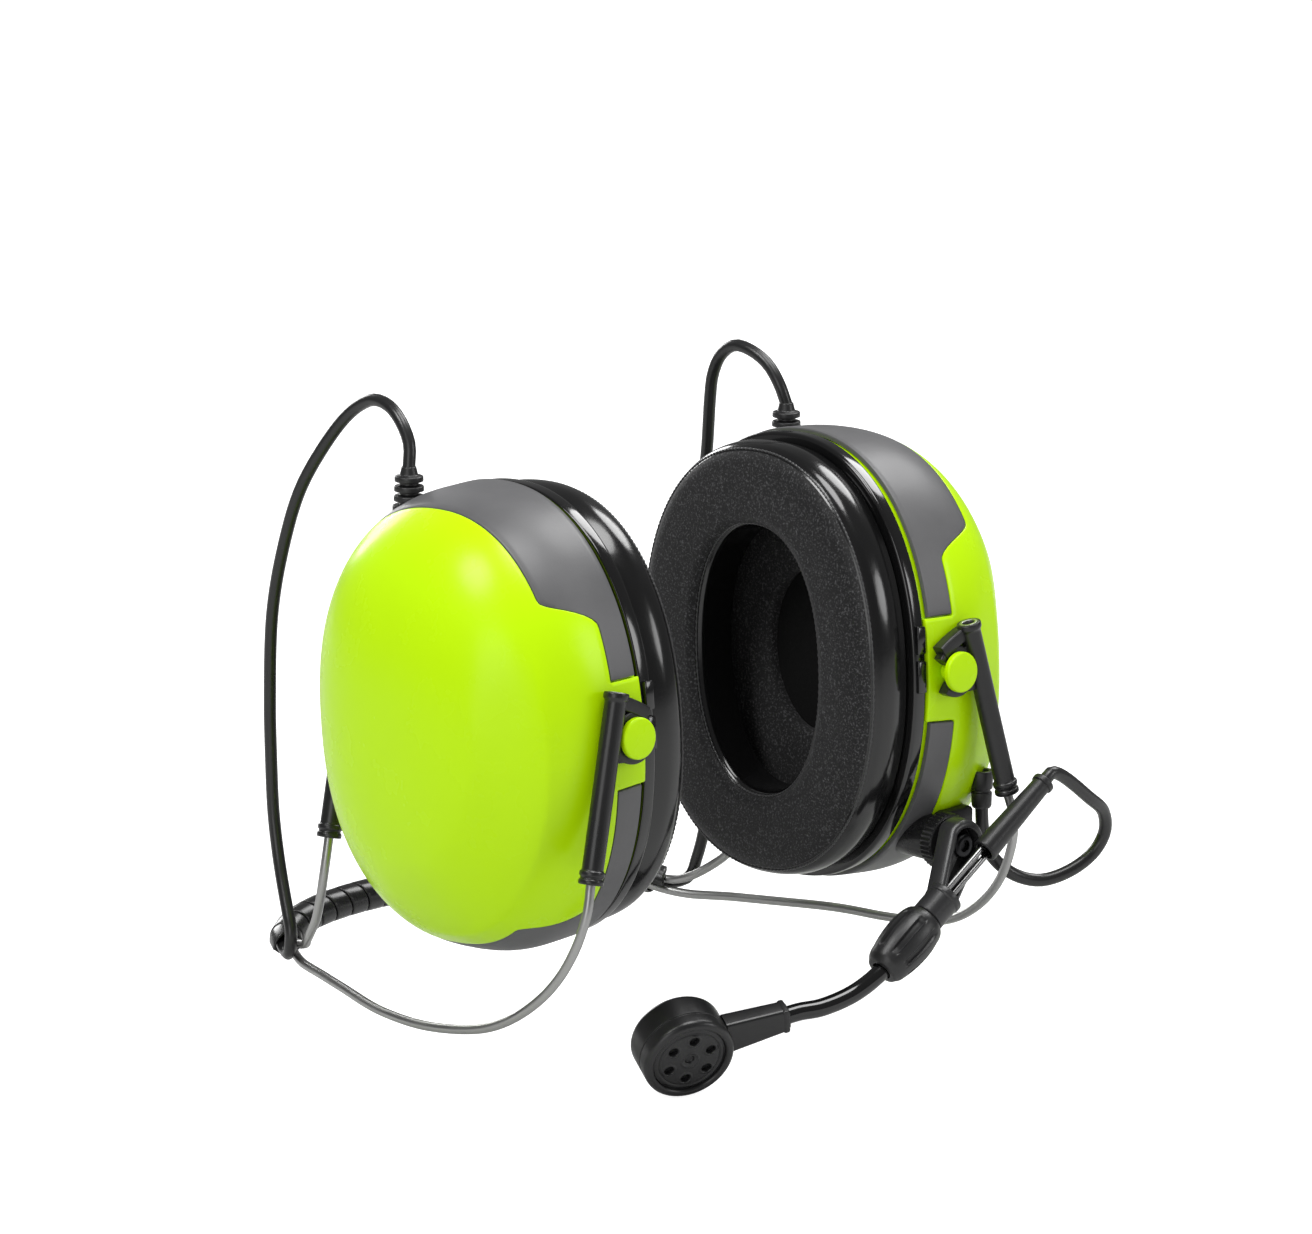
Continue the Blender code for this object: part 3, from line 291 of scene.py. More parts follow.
def mouldedPlastic(name, colour, roughness, grainScale=900.0, grainDepth=0.00002, wear=0.12, coat=0.0,
                   specular=0.5, tint=0.06):
    # moulded plastic: fine grain as bump, slow patches in roughness and a slight shift of colour
    material, nodes, links, shader = startMaterial(name, colour, roughness, coat=coat, specular=specular)
    patches = addNoise(nodes, links, 55.0, 4.0)
    links.new(addRange(nodes, links, patches, 0.3, 0.7, roughness * (1 - wear), roughness * (1 + wear)),
              shader.inputs["Roughness"])
    darker = tuple(c * (1 - tint) for c in colour)
    lighter = tuple(min(1.0, c * (1 + tint)) for c in colour)
    addColourMix(nodes, links, shader, addRange(nodes, links, patches, 0.35, 0.65, 0.0, 1.0), darker, lighter)
    grain = addNoise(nodes, links, grainScale, 2.0)
    addBump(nodes, links, shader, grain, 0.5, grainDepth)
    return material


def speckledFoam(name, colour, speck, roughness, sheen, scale=1500.0, bumpDepth=0.00012):
    # open foam and skin: light specks where a fine noise peaks, pits as bump
    material, nodes, links, shader = startMaterial(name, colour, roughness, sheen=sheen, specular=0.3)
    fine = addNoise(nodes, links, scale, 2.0, 0.7)
    coarse = addNoise(nodes, links, scale * 0.4, 2.0, 0.6)
    addColourMix(nodes, links, shader, addRange(nodes, links, fine, 0.52, 0.74, 0.0, 1.0), colour, speck)
    addBump(nodes, links, shader, coarse, 0.6, bumpDepth)
    addBump(nodes, links, shader, fine, 0.6, bumpDepth * 0.5)
    return material


def drawnSteel(name, colour, roughness, stretch):
    # drawn wire: streaks along the wire as roughness
    material, nodes, links, shader = startMaterial(name, colour, roughness, metallic=1.0)
    streak = addNoise(nodes, links, 120.0, 2.0, 0.5, stretch)
    links.new(addRange(nodes, links, streak, 0.3, 0.7, roughness * 0.8, roughness * 1.35),
              shader.inputs["Roughness"])
    return material


finish = {
    "green": mouldedPlastic("safety_green", (0.49, 0.82, 0.0), 0.27, 700.0, 0.000003, wear=0.04, specular=0.22,
                            tint=0.006),
    "cover": mouldedPlastic("cover_grey", (0.10, 0.10, 0.103), 0.42, 1400.0, 0.00003),
    "gloss": mouldedPlastic("black_gloss", (0.004, 0.004, 0.0042), 0.12, 500.0, 0.000004, coat=0.4),
    "satin": mouldedPlastic("black_satin", (0.010, 0.010, 0.0105), 0.3, 1600.0, 0.00003),
    "lever": mouldedPlastic("lever_black", (0.022, 0.022, 0.023), 0.32, 1600.0, 0.00003),
    "skin": mouldedPlastic("cushion_skin", (0.004, 0.004, 0.0042), 0.17, 420.0, 0.00004, wear=0.2, coat=0.25),
    "face": speckledFoam("cushion_face", (0.010, 0.010, 0.0105), (0.10, 0.10, 0.104), 0.6, 0.05, 1900.0),
    "foam": speckledFoam("liner_foam", (0.016, 0.016, 0.0165), (0.11, 0.11, 0.113), 0.95, 0.1, 1700.0, 0.0002),
    # near-black speaker cloth; the same finish also paints the shade on the floor of the lever's recess
    "cloth": speckledFoam("speaker_cloth", (0.001, 0.001, 0.001), (0.003, 0.003, 0.003), 0.9, 0.0),
    # seam grey, lighter than the black skin: partly the seam's own colour, partly a painted highlight along the
    # cushion's edges
    "seam": mouldedPlastic("seam_painted_highlight", (0.045, 0.045, 0.046), 0.35),
    "bush": drawnSteel("bush_steel", (0.42, 0.42, 0.42), 0.3, (1.0, 1.0, 1.0)),
    "wrap": mouldedPlastic("wrap_black", (0.012, 0.012, 0.0125), 0.28, 500.0, 0.00001),
    "inner": mouldedPlastic("inner_grey", (0.10, 0.10, 0.105), 0.55),
    "cable": mouldedPlastic("cable_rubber", (0.013, 0.013, 0.0135), 0.3, 1300.0, 0.00002),
    "rubber": mouldedPlastic("grip_rubber", (0.013, 0.013, 0.0135), 0.36, 1500.0, 0.00004),
    "steel": drawnSteel("spring_steel", (0.38, 0.38, 0.375), 0.36, (0.3, 1.0, 1.0)),
    "rod": drawnSteel("rod_steel", (0.22, 0.22, 0.22), 0.25, (1.0, 1.0, 1.0)),
    "screw": drawnSteel("dark_screw", (0.03, 0.03, 0.032), 0.3, (1.0, 1.0, 1.0)),
    "board": mouldedPlastic("board_green", (0.015, 0.12, 0.05), 0.45),
    "floor": mouldedPlastic("pale_floor", (0.55, 0.55, 0.55), 0.9, 30.0, 0.0, wear=0.02, tint=0.004),
}
print("finishes made:", len(finish))


# camera, floor and light

cameraPlace = {"azimuth": -41.72, "elevation": 12.42, "distance": 1814.9, "right": -1.727, "up": 15.346,
               "lens": 204.53}


def buildCamera():
    turn, rise = math.radians(cameraPlace["azimuth"]), math.radians(cameraPlace["elevation"])
    back = Vector((math.sin(turn) * math.cos(rise), -math.cos(turn) * math.cos(rise), math.sin(rise)))
    right = Vector((math.cos(turn), math.sin(turn), 0.0))
    up = back.cross(right)
    camera = bpy.data.objects.new("camera", bpy.data.cameras.new("camera"))
    bpy.context.collection.objects.link(camera)
    camera.data.lens = cameraPlace["lens"]
    camera.data.clip_start, camera.data.clip_end = 0.1, 20.0
    camera.location = (back * cameraPlace["distance"] + right * cameraPlace["right"]
                       + up * cameraPlace["up"]) * mm
    camera.rotation_euler = back.to_track_quat("Z", "Y").to_euler()
    bpy.context.scene.camera = camera


lightPlaces = {
    # name: (place, size, power in watts, colour); every light faces the middle of the headset
    "overhead": ((0.05, -0.25, 1.25), 0.7, 10.0, (1.0, 1.0, 1.0)),
    "aboveLeft": ((-0.75, 0.05, 1.0), 0.5, 7.0, (1.0, 1.0, 1.0)),
    "frontLeft": ((-1.35, -0.65, 0.35), 0.9, 4.0, (1.0, 1.0, 1.0)),
    "aboveRight": ((0.85, 0.05, 0.95), 0.6, 7.0, (1.0, 1.0, 1.0)),
    "frontRight": ((0.75, -1.25, 0.45), 0.5, 3.0, (1.0, 1.0, 1.0)),
    "behind": ((0.3, 1.25, 0.35), 0.5, 5.0, (1.0, 1.0, 1.0)),
}
ambientStrength = 0.34
glossyShare = 0.5


def buildStudio():
    world = bpy.data.worlds.new("studio")
    world.use_nodes = True
    nodes, links = world.node_tree.nodes, world.node_tree.links
    seen, ambient = nodes["Background"], nodes.new("ShaderNodeBackground")
    seen.inputs["Color"].default_value = ambient.inputs["Color"].default_value = (1.0, 1.0, 1.0, 1.0)
    seen.inputs["Strength"].default_value = 1.0
    ray, mix = nodes.new("ShaderNodeLightPath"), nodes.new("ShaderNodeMixShader")
    dim = nodes.new("ShaderNodeMapRange")
    dim.inputs["To Min"].default_value = ambientStrength
    dim.inputs["To Max"].default_value = ambientStrength * glossyShare
    links.new(ray.outputs["Is Glossy Ray"], dim.inputs["Value"])
    links.new(dim.outputs["Result"], ambient.inputs["Strength"])
    links.new(ray.outputs["Is Camera Ray"], mix.inputs["Fac"])
    links.new(ambient.outputs["Background"], mix.inputs[1])
    links.new(seen.outputs["Background"], mix.inputs[2])
    links.new(mix.outputs["Shader"], nodes["World Output"].inputs["Surface"])
    bpy.context.scene.world = world
    bpy.context.scene.view_settings.view_transform = "Standard"
    for name, (place, size, power, colour) in lightPlaces.items():
        light = bpy.data.lights.new(name, "AREA")
        light.shape = "DISK"
        light.size = size
        light.energy = power
        light.color = colour
        holder = bpy.data.objects.new(name, light)
        holder.location = place
        holder.rotation_euler = Vector(place).to_track_quat("Z", "Y").to_euler()
        bpy.context.collection.objects.link(holder)
    lowest = boxBefore[0][2] / mm - 0.6
    grid = np.array([[(x, y, lowest) for x in np.linspace(-4000, 4000, 9)] for y in np.linspace(-4000, 4000, 9)])
    points, faces = gridShape(grid, loopColumns=False, capEnds=False)
    faces = [face if np.cross(points[face[1]] - points[face[0]], points[face[2]] - points[face[1]])[2] > 0
             else face[::-1] for face in faces]
    floor = makePiece("floor", (points, faces), finish["floor"])
    tree = finish["floor"].node_tree
    glow = tree.nodes["Principled BSDF"]
    glow.inputs["Emission Color"].default_value = (1.0, 1.0, 1.0, 1.0)
    ray = tree.nodes.new("ShaderNodeLightPath")
    tree.links.new(addRange(tree.nodes, tree.links, ray.outputs["Is Camera Ray"], 0.0, 1.0, 0.05, 0.86),
                   glow.inputs["Emission Strength"])


buildCamera()
buildStudio()
print("camera and studio ready")


# link cables and the microphone's cable

cordSet = {"linkRadius": 1.55, "micRadius": 1.65, "wireRadius": 1.15, "spacing": 6.0, "twist": 0.04}
wrapRoute = [(62.8, 68.0, -72.4), (60.8, 72.2, -71.6), (56.0, 75.8, -69.8), (47.0, 78.6, -67.8),
             (33.0, 80.4, -66.3), (16.0, 81.2, -65.6)]
wrapMiddle = (0.0, 81.4, -65.4)
frontWireRoute = [(71.8, -46.5, -50.0), (73.6, -38.0, -60.0), (75.4, -24.0, -68.5), (76.6, -4.0, -72.6),
                  (74.6, 18.0, -73.6), (70.2, 38.0, -73.8), (66.8, 52.0, -74.0), (64.2, 61.0, -74.4)]
rearWireRoute = [(69.9, 48.4, -58.5), (67.0, 55.5, -66.0), (62.7, 62.4, -70.2)]
leftLinkRoute = [(60.6, 22.9, 61.0), (59.9, 27.4, 66.6), (59.1, 33.8, 70.0), (58.7, 38.8, 70.4),
                 (58.5, 43.6, 67.4), (58.2, 46.6, 61.4), (58.2, 47.6, 53.7), (58.6, 49.0, 42.5),
                 (59.8, 52.6, 27.0), (61.4, 56.6, 8.0), (63.2, 58.4, -12.0), (65.2, 57.6, -32.0),
                 (66.2, 57.0, -46.0), (66.8, 58.6, -58.0), (66.9, 61.6, -67.0), (66.2, 63.6, -72.6)]
rightLinkRoute = [(-60.6, 22.7, 61.4), (-60.0, 26.6, 67.6), (-59.3, 33.0, 71.2), (-59.0, 39.5, 71.2),
                  (-59.4, 47.4, 66.6), (-60.6, 54.6, 58.6), (-61.8, 63.2, 46.0), (-62.0, 69.6, 31.0),
                  (-62.0, 74.2, 14.0), (-62.0, 75.6, -8.0), (-62.0, 75.4, -23.0), (-62.2, 74.4, -37.0),
                  (-63.0, 71.4, -48.5), (-65.0, 66.6, -57.0), (-66.6, 62.8, -63.0), (-66.9, 62.0, -67.0),
                  (-66.2, 64.4, -70.2)]


def sagged(points, side):
    # the route on one side, with the back of the band lower on the left and higher on the right
    placed = np.array(points) * (side, 1.0, 1.0)
    placed[:, 2] -= cordSet["twist"] * placed[:, 0] * np.clip((placed[:, 1] - 20) / 45, 0, 1)
    return list(placed)


def outsidePart(route, first, second):
    # the smooth route that heads into the wrap's first two points and stops just short of them
    smooth = smoothRoute(route + [first, second], cordSet["spacing"])
    keepOff = np.linalg.norm(second - first) * 1.35
    return smooth[np.linalg.norm(smooth - second, axis=1) > keepOff]


# cup: its place, outline and surface

cupSet = {
    "rimOffset": 46.1, "halfWidth": 45.2, "halfHeight": 56.0, "depth": 43.6, "pitch": 4.0, "lean": 1.4,
    "rimSquareness": 2.2, "crownSquareness": 2.33, "domeSquareness": 2.45, "straight": 7.5, "drift": -0.035,
    "wall": 4.0, "lip": 0.95, "coverThick": 1.2, "coverLow": 9.0, "topWide": 22.5, "bottomWide": 24.5,
    "topTab": 11.0, "bottomTab": 11.5, "topStep": (155.0, 143.0), "bottomStep": (226.0, 242.0),
    "creaseDepth": 1.8,
}


def cupAxes(side):
    lean, pitch = math.radians(side * cupSet["lean"]), math.radians(-cupSet["pitch"])
    aboutY = np.array([[math.cos(lean), 0, math.sin(lean)], [0, 1, 0], [-math.sin(lean), 0, math.cos(lean)]])
    aboutX = np.array([[1, 0, 0], [0, math.cos(pitch), -math.sin(pitch)],
                       [0, math.sin(pitch), math.cos(pitch)]])
    return aboutY @ aboutX


def cupToRow(points, side):
    # from a cup's own frame, where x is outward on both sides, to the row frame
    return (np.asarray(points, float) * (side, 1.0, 1.0)) @ cupAxes(side).T + (side * cupSet["rimOffset"], 0, 0)


def cupWay(way, side):
    return unitVector((np.asarray(way, float) * (side, 1.0, 1.0)) @ cupAxes(side).T)


def superEllipse(turn, halfWidth, halfHeight, squareness):
    c, s = np.cos(turn), np.sin(turn)
    return (halfWidth * np.sign(c) * np.abs(c) ** (2 / squareness),
            halfHeight * np.sign(s) * np.abs(s) ** (2 / squareness))


def smoothStep(value):
    value = np.clip(value, 0, 1)
    return value * value * (3 - 2 * value)


def creaseInset(turn, share):
    # two soft creases on the lower front: between them the dome is drawn in by half a sine wave
    degrees = np.degrees(turn) % 360
    mask = smoothStep((degrees - 148) / 26) * smoothStep((292 - degrees) / 30)
    outer = 0.90 - 0.04 * smoothStep((degrees - 180) / 60)
    inner = 0.60 - 0.08 * smoothStep((degrees - 170) / 50)
    between = np.clip((share - inner) / (outer - inner), 0, 1)
    outside = np.clip((share - outer) / (1.0 - outer), 0, 1)
    return cupSet["creaseDepth"] * mask * (np.sin(math.pi * between) + 0.35 * np.sin(math.pi * outside))


def cupSurface(turn, depth, inset=0.0):
    # the cup's outside, or a surface inset from it, at an angle and a depth from the rim plane
    turn, depth, inset = np.broadcast_arrays(np.asarray(turn, float), np.asarray(depth, float),
                                             np.asarray(inset, float))
    crown = cupSet["depth"] - inset
    over = np.clip((depth - cupSet["straight"]) / (crown - cupSet["straight"]), 0, 1)
    power = cupSet["domeSquareness"]
    share = (1 - over ** power) ** (1 / power)
    draw = inset + creaseInset(turn, share)
    squareness = cupSet["rimSquareness"] + (cupSet["crownSquareness"] - cupSet["rimSquareness"]) * depth / 43.6
    y, z = superEllipse(turn, (cupSet["halfWidth"] - draw) * share, (cupSet["halfHeight"] - draw) * share,
                        squareness)
    return np.stack([depth, y + cupSet["drift"] * depth, z + cupSet["drift"] * depth], -1)


def coverWidth(degrees):
    # how far the grey cover reaches over the shell: a low width by the pivots, stepping up over top and bottom
    folded = np.where(np.cos(np.radians(degrees)) > 0, 180 - degrees, degrees)
    folded = np.where(folded < 0, folded + 360, folded)
    start, stop = cupSet["topStep"]
    top = cupSet["coverLow"] + (cupSet["topWide"] - cupSet["coverLow"]) * smoothStep(
        (start - folded) / (start - stop))
    start, stop = cupSet["bottomStep"]
    bottom = cupSet["coverLow"] + (cupSet["bottomWide"] - cupSet["coverLow"]) * smoothStep(
        (folded - start) / (stop - start))
    return np.where(folded < 180, top, bottom)


def buildShell(word, side):
    # a grid of angle x (inner wall, rim, cover recess, dome): the recess is cut by the width of the covers
    degrees, mask = [], []
    for first, last, covered in ((cupSet["topTab"], 180 - cupSet["topTab"], True),
                                 (180 - cupSet["topTab"], 180 + cupSet["bottomTab"], False),
                                 (180 + cupSet["bottomTab"], 360 - cupSet["bottomTab"], True),
                                 (360 - cupSet["bottomTab"], 360 + cupSet["topTab"], False)):
        if covered:
            degrees += [first + 0.12] + list(np.linspace(first + 0.4, last - 0.4, 110)) + [last - 0.12]
            mask += [1.0] * 112
        else:
            degrees += [first, first + 0.25] + list(np.linspace(first + 1.0, last - 1.0, 14)) + [last - 0.25, last]
            mask += [0.12, 0.0] + [0.0] * 14 + [0.0, 0.12]
    degrees, mask = np.array(degrees), np.array(mask)
    turn = np.radians(degrees)
    width = coverWidth(degrees)
    deep = cupSet["coverThick"] + 0.3
    lip, wall = cupSet["lip"], cupSet["wall"]
    rows = [cupSurface(turn, depth, wall) for depth in (38.5, 34.0, 28.0, 20.0, 10.0, 0.0)]
    rows += [cupSurface(turn, 0.0, 0.35 + deep * mask), cupSurface(turn, 0.08, 0.1 + deep * mask),
             cupSurface(turn, 0.35, deep * mask), cupSurface(turn, lip, deep * mask)]
    for share in np.linspace(0, 1, 12):
        rows.append(cupSurface(turn, lip + 0.08 + share * (width - lip - 0.22), deep * mask))
    rows += [cupSurface(turn, width - 0.08, 0.4 * mask), cupSurface(turn, width, 0.12 * mask),
             cupSurface(turn, width + 0.3, 0.0)]
    straight, depth, power = cupSet["straight"], cupSet["depth"], cupSet["domeSquareness"]
    first = np.arcsin(np.clip((width + 0.3 - straight) / (depth - straight), 0, 1) ** (power / 2))
    for share in np.linspace(0, 1, 64)[1:]:
        at = first + (math.radians(89.6) - first) * share
        rows.append(cupSurface(turn, straight + (depth - straight) * np.sin(at) ** (2 / power)))
    body = word + "_cup"
    makePiece(word + "_shell", gridShape(cupToRow(rows, side)), finish["green"], body,
              [word + "_outer_shell"], sharp=50)


def buildCover(word, name, side, first, last):
    # a strip that lies in the recess: its rounded section of (depth, inset) is carried round the cup
    degrees = np.concatenate([[first + 0.42], [first + 0.5], np.linspace(first + 0.8, last - 0.8, 150),
                              [last - 0.5], [last - 0.42]])
    pull = np.zeros(len(degrees))
    pull[[0, -1]] = 0.25
    pull[[1, -2]] = 0.08
    width = coverWidth(degrees) - 0.28
    start = cupSet["lip"] + 0.28
    section = []
    for share in np.linspace(0, 1, 14):
        section.append((share, 0.0))
    outer = [(0.0, 0.5), (0.0, 0.16), (0.006, 0.03)] + section[1:-1] + [(0.994, 0.03), (1.0, 0.16), (1.0, 0.5)]
    inner = [(share, cupSet["coverThick"]) for share, _ in section[::-1]]
    rings = []
    for share, inset in outer + inner:
        rings.append(cupSurface(np.radians(degrees), start + share * (width - start),
                                inset + (pull if inset < 1 else 0)))
    grid = np.transpose(np.array(rings), (1, 0, 2))
    makePiece(f"{word}_{name}_cover_strip", gridShape(cupToRow(grid, side)), finish["cover"], word + "_cup",
              [f"{word}_{name}_cover"], sharp=50)


def ringShape(side, section, count=220, squareness=None):
    # a closed section of (inset from the cup's outline, depth) carried round the outline
    turn = np.linspace(0, 2 * math.pi, count, endpoint=False)
    rows = []
    for inset, depth in section:
        y, z = superEllipse(turn, cupSet["halfWidth"] - inset, cupSet["halfHeight"] - inset,
                            squareness or cupSet["rimSquareness"])
        rows.append(np.stack([np.full(count, depth), y, z], -1))
    return gridShape(cupToRow(rows, side), loopRows=True)


def ovalShape(side, section, count=160):
    # a closed section of (half width, half height, depth) carried round an oval
    turn = np.linspace(0, 2 * math.pi, count, endpoint=False)
    rows = []
    for halfWidth, halfHeight, depth in section:
        y, z = superEllipse(turn, halfWidth, halfHeight, cupSet["rimSquareness"])
        rows.append(np.stack([np.full(count, depth), y, z], -1))
    return gridShape(cupToRow(rows, side), loopRows=True)


plateSet = {"proud": -0.6, "back": -0.3, "thick": 3.7, "opening": (27.0, 37.0),
            "latches": [(7.5, 7.0), (-1.5, 8.0)]}


def buildPlate(word, side):
    front = plateSet["back"] - plateSet["thick"]
    proud, inner = -plateSet["proud"], cupSet["halfWidth"] - plateSet["opening"][0]
    section = softCorners([(6.3, 3.0), (4.4, 3.0), (4.4, -0.3), (proud, -0.3), (proud, front), (inner, front),
                           (inner, -0.3), (6.3, -0.3)], [0.2, 0.2, 0.1, 0.5, 1.0, 0.6, 0.3, 0.1], 4)
    shapes = [ringShape(side, section)]
    across, outward = cupWay((1, 0, 0), side), cupWay((0, -1, 0), side)
    upward = cupWay((0, 0, 1), side)
    for height, size in plateSet["latches"]:
        place = cupToRow((-2.2, -(cupSet["halfWidth"] - 0.5), height), side)
        shapes.append(boxShape(place, (across, outward, upward), (2.6, 1.8, size), 0.4))
    makePiece(word + "_plate_ring", shapes, finish["gloss"], word + "_cup", [word + "_cup_plate"])


cushionSet = {"back": -4.1, "face": -17.5, "hole": (20.0, 31.5), "voxel": 4.0, "pressure": 4.0, "cap": 1.4,
              "draw": 1.0, "seam": 3.7, "holeSeam": 2.4, "frames": 20, "reach": 4.0}


def cushionSection():
    # the cushion's section as (half width, half height, depth), drawn in all round to leave room to swell
    a, b = cupSet["halfWidth"] - cushionSet["draw"], cupSet["halfHeight"] - cushionSet["draw"]
    holeA, holeB = (size + cushionSet["draw"] for size in cushionSet["hole"])
    back, face = cushionSet["back"], cushionSet["face"] + cushionSet["draw"]
    corners = [((a - 2.2, b - 2.2, back), 0.8), ((a - 1.0, b - 1.0, back - 4.5), 5.0),
               ((a - 1.0, b - 1.0, face + 5.5), 4.0), ((a - 1.7, b - 1.7, face + 2.4), 2.6),
               ((a - 4.8, b - 4.8, face), 3.0), (((a + holeA) / 2, (b + holeB) / 2, face - 0.5), 5.0),
               ((holeA + 3.0, holeB + 3.0, face), 1.6),
               ((holeA + 0.3, holeB + 0.3, face + 2.3), 1.5), ((holeA, holeB, back), 0.8)]
    line = softCorners([place for place, _ in corners], [size for _, size in corners], 6)
    return np.concatenate([evenPoints(line[[k, (k + 1) % len(line)]], 1.6)[:-1] for k in range(len(line))])


def swellCushion(made, side):
    # remesh the cushion, let cloth pressure swell it, cap how far each point moved, keep its back on the plate
    remesh = made.modifiers.new("remesh", "REMESH")
    remesh.mode = "VOXEL"
    remesh.voxel_size = cushionSet["voxel"] * mm
    graph = bpy.context.evaluated_depsgraph_get()
    made.data = bpy.data.meshes.new_from_object(made.evaluated_get(graph))
    made.modifiers.clear()
    start = np.empty(len(made.data.vertices) * 3)
    made.data.vertices.foreach_get("co", start)
    start = start.reshape(-1, 3)
    local = ((start / mm - (side * cupSet["rimOffset"], 0, 0)) @ cupAxes(side)) * (side, 1.0, 1.0)
    held = made.vertex_groups.new(name="held")
    held.add(np.nonzero(local[:, 0] > cushionSet["back"] - 1.5)[0].tolist(), 1.0, "REPLACE")
    cloth = made.modifiers.new("cloth", "CLOTH")
    cloth.settings.quality = 6
    cloth.settings.mass = 0.2
    cloth.settings.tension_stiffness = 30
    cloth.settings.compression_stiffness = 30
    cloth.settings.bending_stiffness = 4
    cloth.settings.use_pressure = True
    cloth.settings.uniform_pressure_force = cushionSet["pressure"]
    cloth.settings.vertex_group_mass = "held"
    cloth.settings.effector_weights.gravity = 0.0
    cloth.collision_settings.use_self_collision = False
    cloth.point_cache.frame_start, cloth.point_cache.frame_end = 1, cushionSet["frames"]
    for step in range(1, cushionSet["frames"] + 1):
        bpy.context.scene.frame_set(step)
    graph = bpy.context.evaluated_depsgraph_get()
    swollen = bpy.data.meshes.new_from_object(made.evaluated_get(graph))
    after = np.empty(len(swollen.vertices) * 3)
    swollen.vertices.foreach_get("co", after)
    move = after.reshape(-1, 3) - start
    far = np.linalg.norm(move, axis=1, keepdims=True)
    move *= np.minimum(1.0, cushionSet["cap"] * mm / np.maximum(far, 1e-9))
    made.modifiers.clear()
    bpy.context.scene.frame_set(1)
    print(made.name, "swelled by up to", round(float(far.max()) / mm, 2), "mm")
    return start, move


def buildCushion(word, side):
    # the swelling of the coarse cloth is carried to the fine cushion: the mean of the moves near each point
    made = makePiece(word + "_cushion", ovalShape(side, cushionSection()), finish["skin"])
    fine = made.data.copy()
    count = len(fine.vertices)
    points = np.empty(count * 3)
    fine.vertices.foreach_get("co", points)
    points = points.reshape(-1, 3)
    start, move = swellCushion(made, side)
    made.data = fine
    for rows in np.array_split(np.arange(count), 12):
        far = np.linalg.norm(points[rows, None] - start, axis=2) / (cushionSet["reach"] * mm)
        share = np.exp(-far ** 2)
        points[rows] += share @ move / share.sum(axis=1, keepdims=True)
    fine.vertices.foreach_set("co", points.ravel())
    fine.update()
    made.data = fine
    fine.shade_smooth()
    fine.materials.append(finish["face"])
    centres = np.empty(len(fine.polygons) * 3)
    fine.polygons.foreach_get("center", centres)
    local = ((centres.reshape(-1, 3) / mm - (side * cupSet["rimOffset"], 0, 0)) @ cupAxes(side)) * (side, 1.0, 1.0)
    power = cupSet["rimSquareness"]
    size = ((np.abs(local[:, 1]) / (cupSet["halfWidth"] - cushionSet["seam"])) ** power
            + (np.abs(local[:, 2]) / (cupSet["halfHeight"] - cushionSet["seam"])) ** power)
    onFace = (size < 1.0) & (local[:, 0] < cushionSet["face"] + 2.2)
    fine.polygons.foreach_set("material_index", onFace.astype(np.int32))
    fine.update()
    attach(made, word + "_cup")
    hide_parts(word + "_ear_cushion")
    buildSeam(word, side, ((points / mm - (side * cupSet["rimOffset"], 0, 0)) @ cupAxes(side)) * (side, 1.0, 1.0))


def buildSeam(word, side, local):
    # a thin bead with a fine rope twist where the cushion's face meets its side, and another round its hole; their
    # grey, lighter than the black skin, is a painted highlight along both edges, laid on the real seam at the outer
    # edge
    outer = (cupSet["halfWidth"] - cushionSet["seam"], cupSet["halfHeight"] - cushionSet["seam"])
    hole = tuple(size + cushionSet["holeSeam"] for size in cushionSet["hole"])
    makePiece(word + "_cushion_seam_and_highlight", [seamBead(side, local, outer, 1100, 230), seamBead(side, local, hole, 700, 140)],
              finish["seam"], word + "_cup", sharp=80)


def seamBead(side, local, size, count, twists):
    # a ring laid on the cushion: its depth is the mean depth of the cushion's front points near each angle
    turn = np.linspace(0, 2 * math.pi, count, endpoint=False)
    y, z = superEllipse(turn, size[0], size[1], cupSet["rimSquareness"])
    front = local[local[:, 0] < -14.0]
    near = np.exp(-((y[:, None] - front[:, 1]) ** 2 + (z[:, None] - front[:, 2]) ** 2) / 0.7)
    depth = (near @ front[:, 0]) / near.sum(axis=1)
    across = np.linspace(0, 2 * math.pi, 8, endpoint=False)
    radius = 0.26 + 0.07 * np.sin(turn * twists)
    outward = unitVector(np.stack([y, z], -1))
    rows = np.stack([depth[:, None] - radius[:, None] * np.sin(across),
                     y[:, None] + outward[:, :1] * radius[:, None] * np.cos(across),
                     z[:, None] + outward[:, 1:] * radius[:, None] * np.cos(across)], -1)
    return gridShape(cupToRow(rows, side), loopRows=True)


linerSet = {"front": 4.0, "back": 12.0, "hole": (16.0, 20.5), "edge": 2.0, "cloth": 6.4}


def buildLiner(word, side):
    a = cupSet["halfWidth"] - cupSet["wall"] - 2.6
    b = cupSet["halfHeight"] - cupSet["wall"] - 2.6
    holeA, holeB = linerSet["hole"]
    front, back = linerSet["front"], linerSet["back"]
    section = softCorners([(a, b, front), (a - 1.5, b - 1.5, back), (holeA, holeB, back),
                           (holeA, holeB, front), ((a + holeA) / 2, (b + holeB) / 2, front - 0.6)],
                          [1.5, 1.5, 1.0, linerSet["edge"], 4.0], 6)
    makePiece(word + "_liner", ovalShape(side, section), finish["foam"], word + "_cup",
              [word + "_foam_liner"], sharp=60)
    cloth = linerSet["cloth"]
    turn = np.linspace(0, 2 * math.pi, 96, endpoint=False)
    rows = []
    for share, depth in ((0.05, cloth + 0.9), (1.0, cloth + 0.8), (1.02, cloth + 0.4), (1.0, cloth),
                         (0.6, cloth + 0.15), (0.05, cloth + 0.2)):
        y, z = superEllipse(turn, holeA * share, holeB * share, 2.0)
        rows.append(np.stack([np.full(96, depth), y, z], -1))
    makePiece(word + "_speaker_cloth", gridShape(cupToRow(rows, side)), finish["cloth"], word + "_cup")


# guide tubes, pivots and strain reliefs

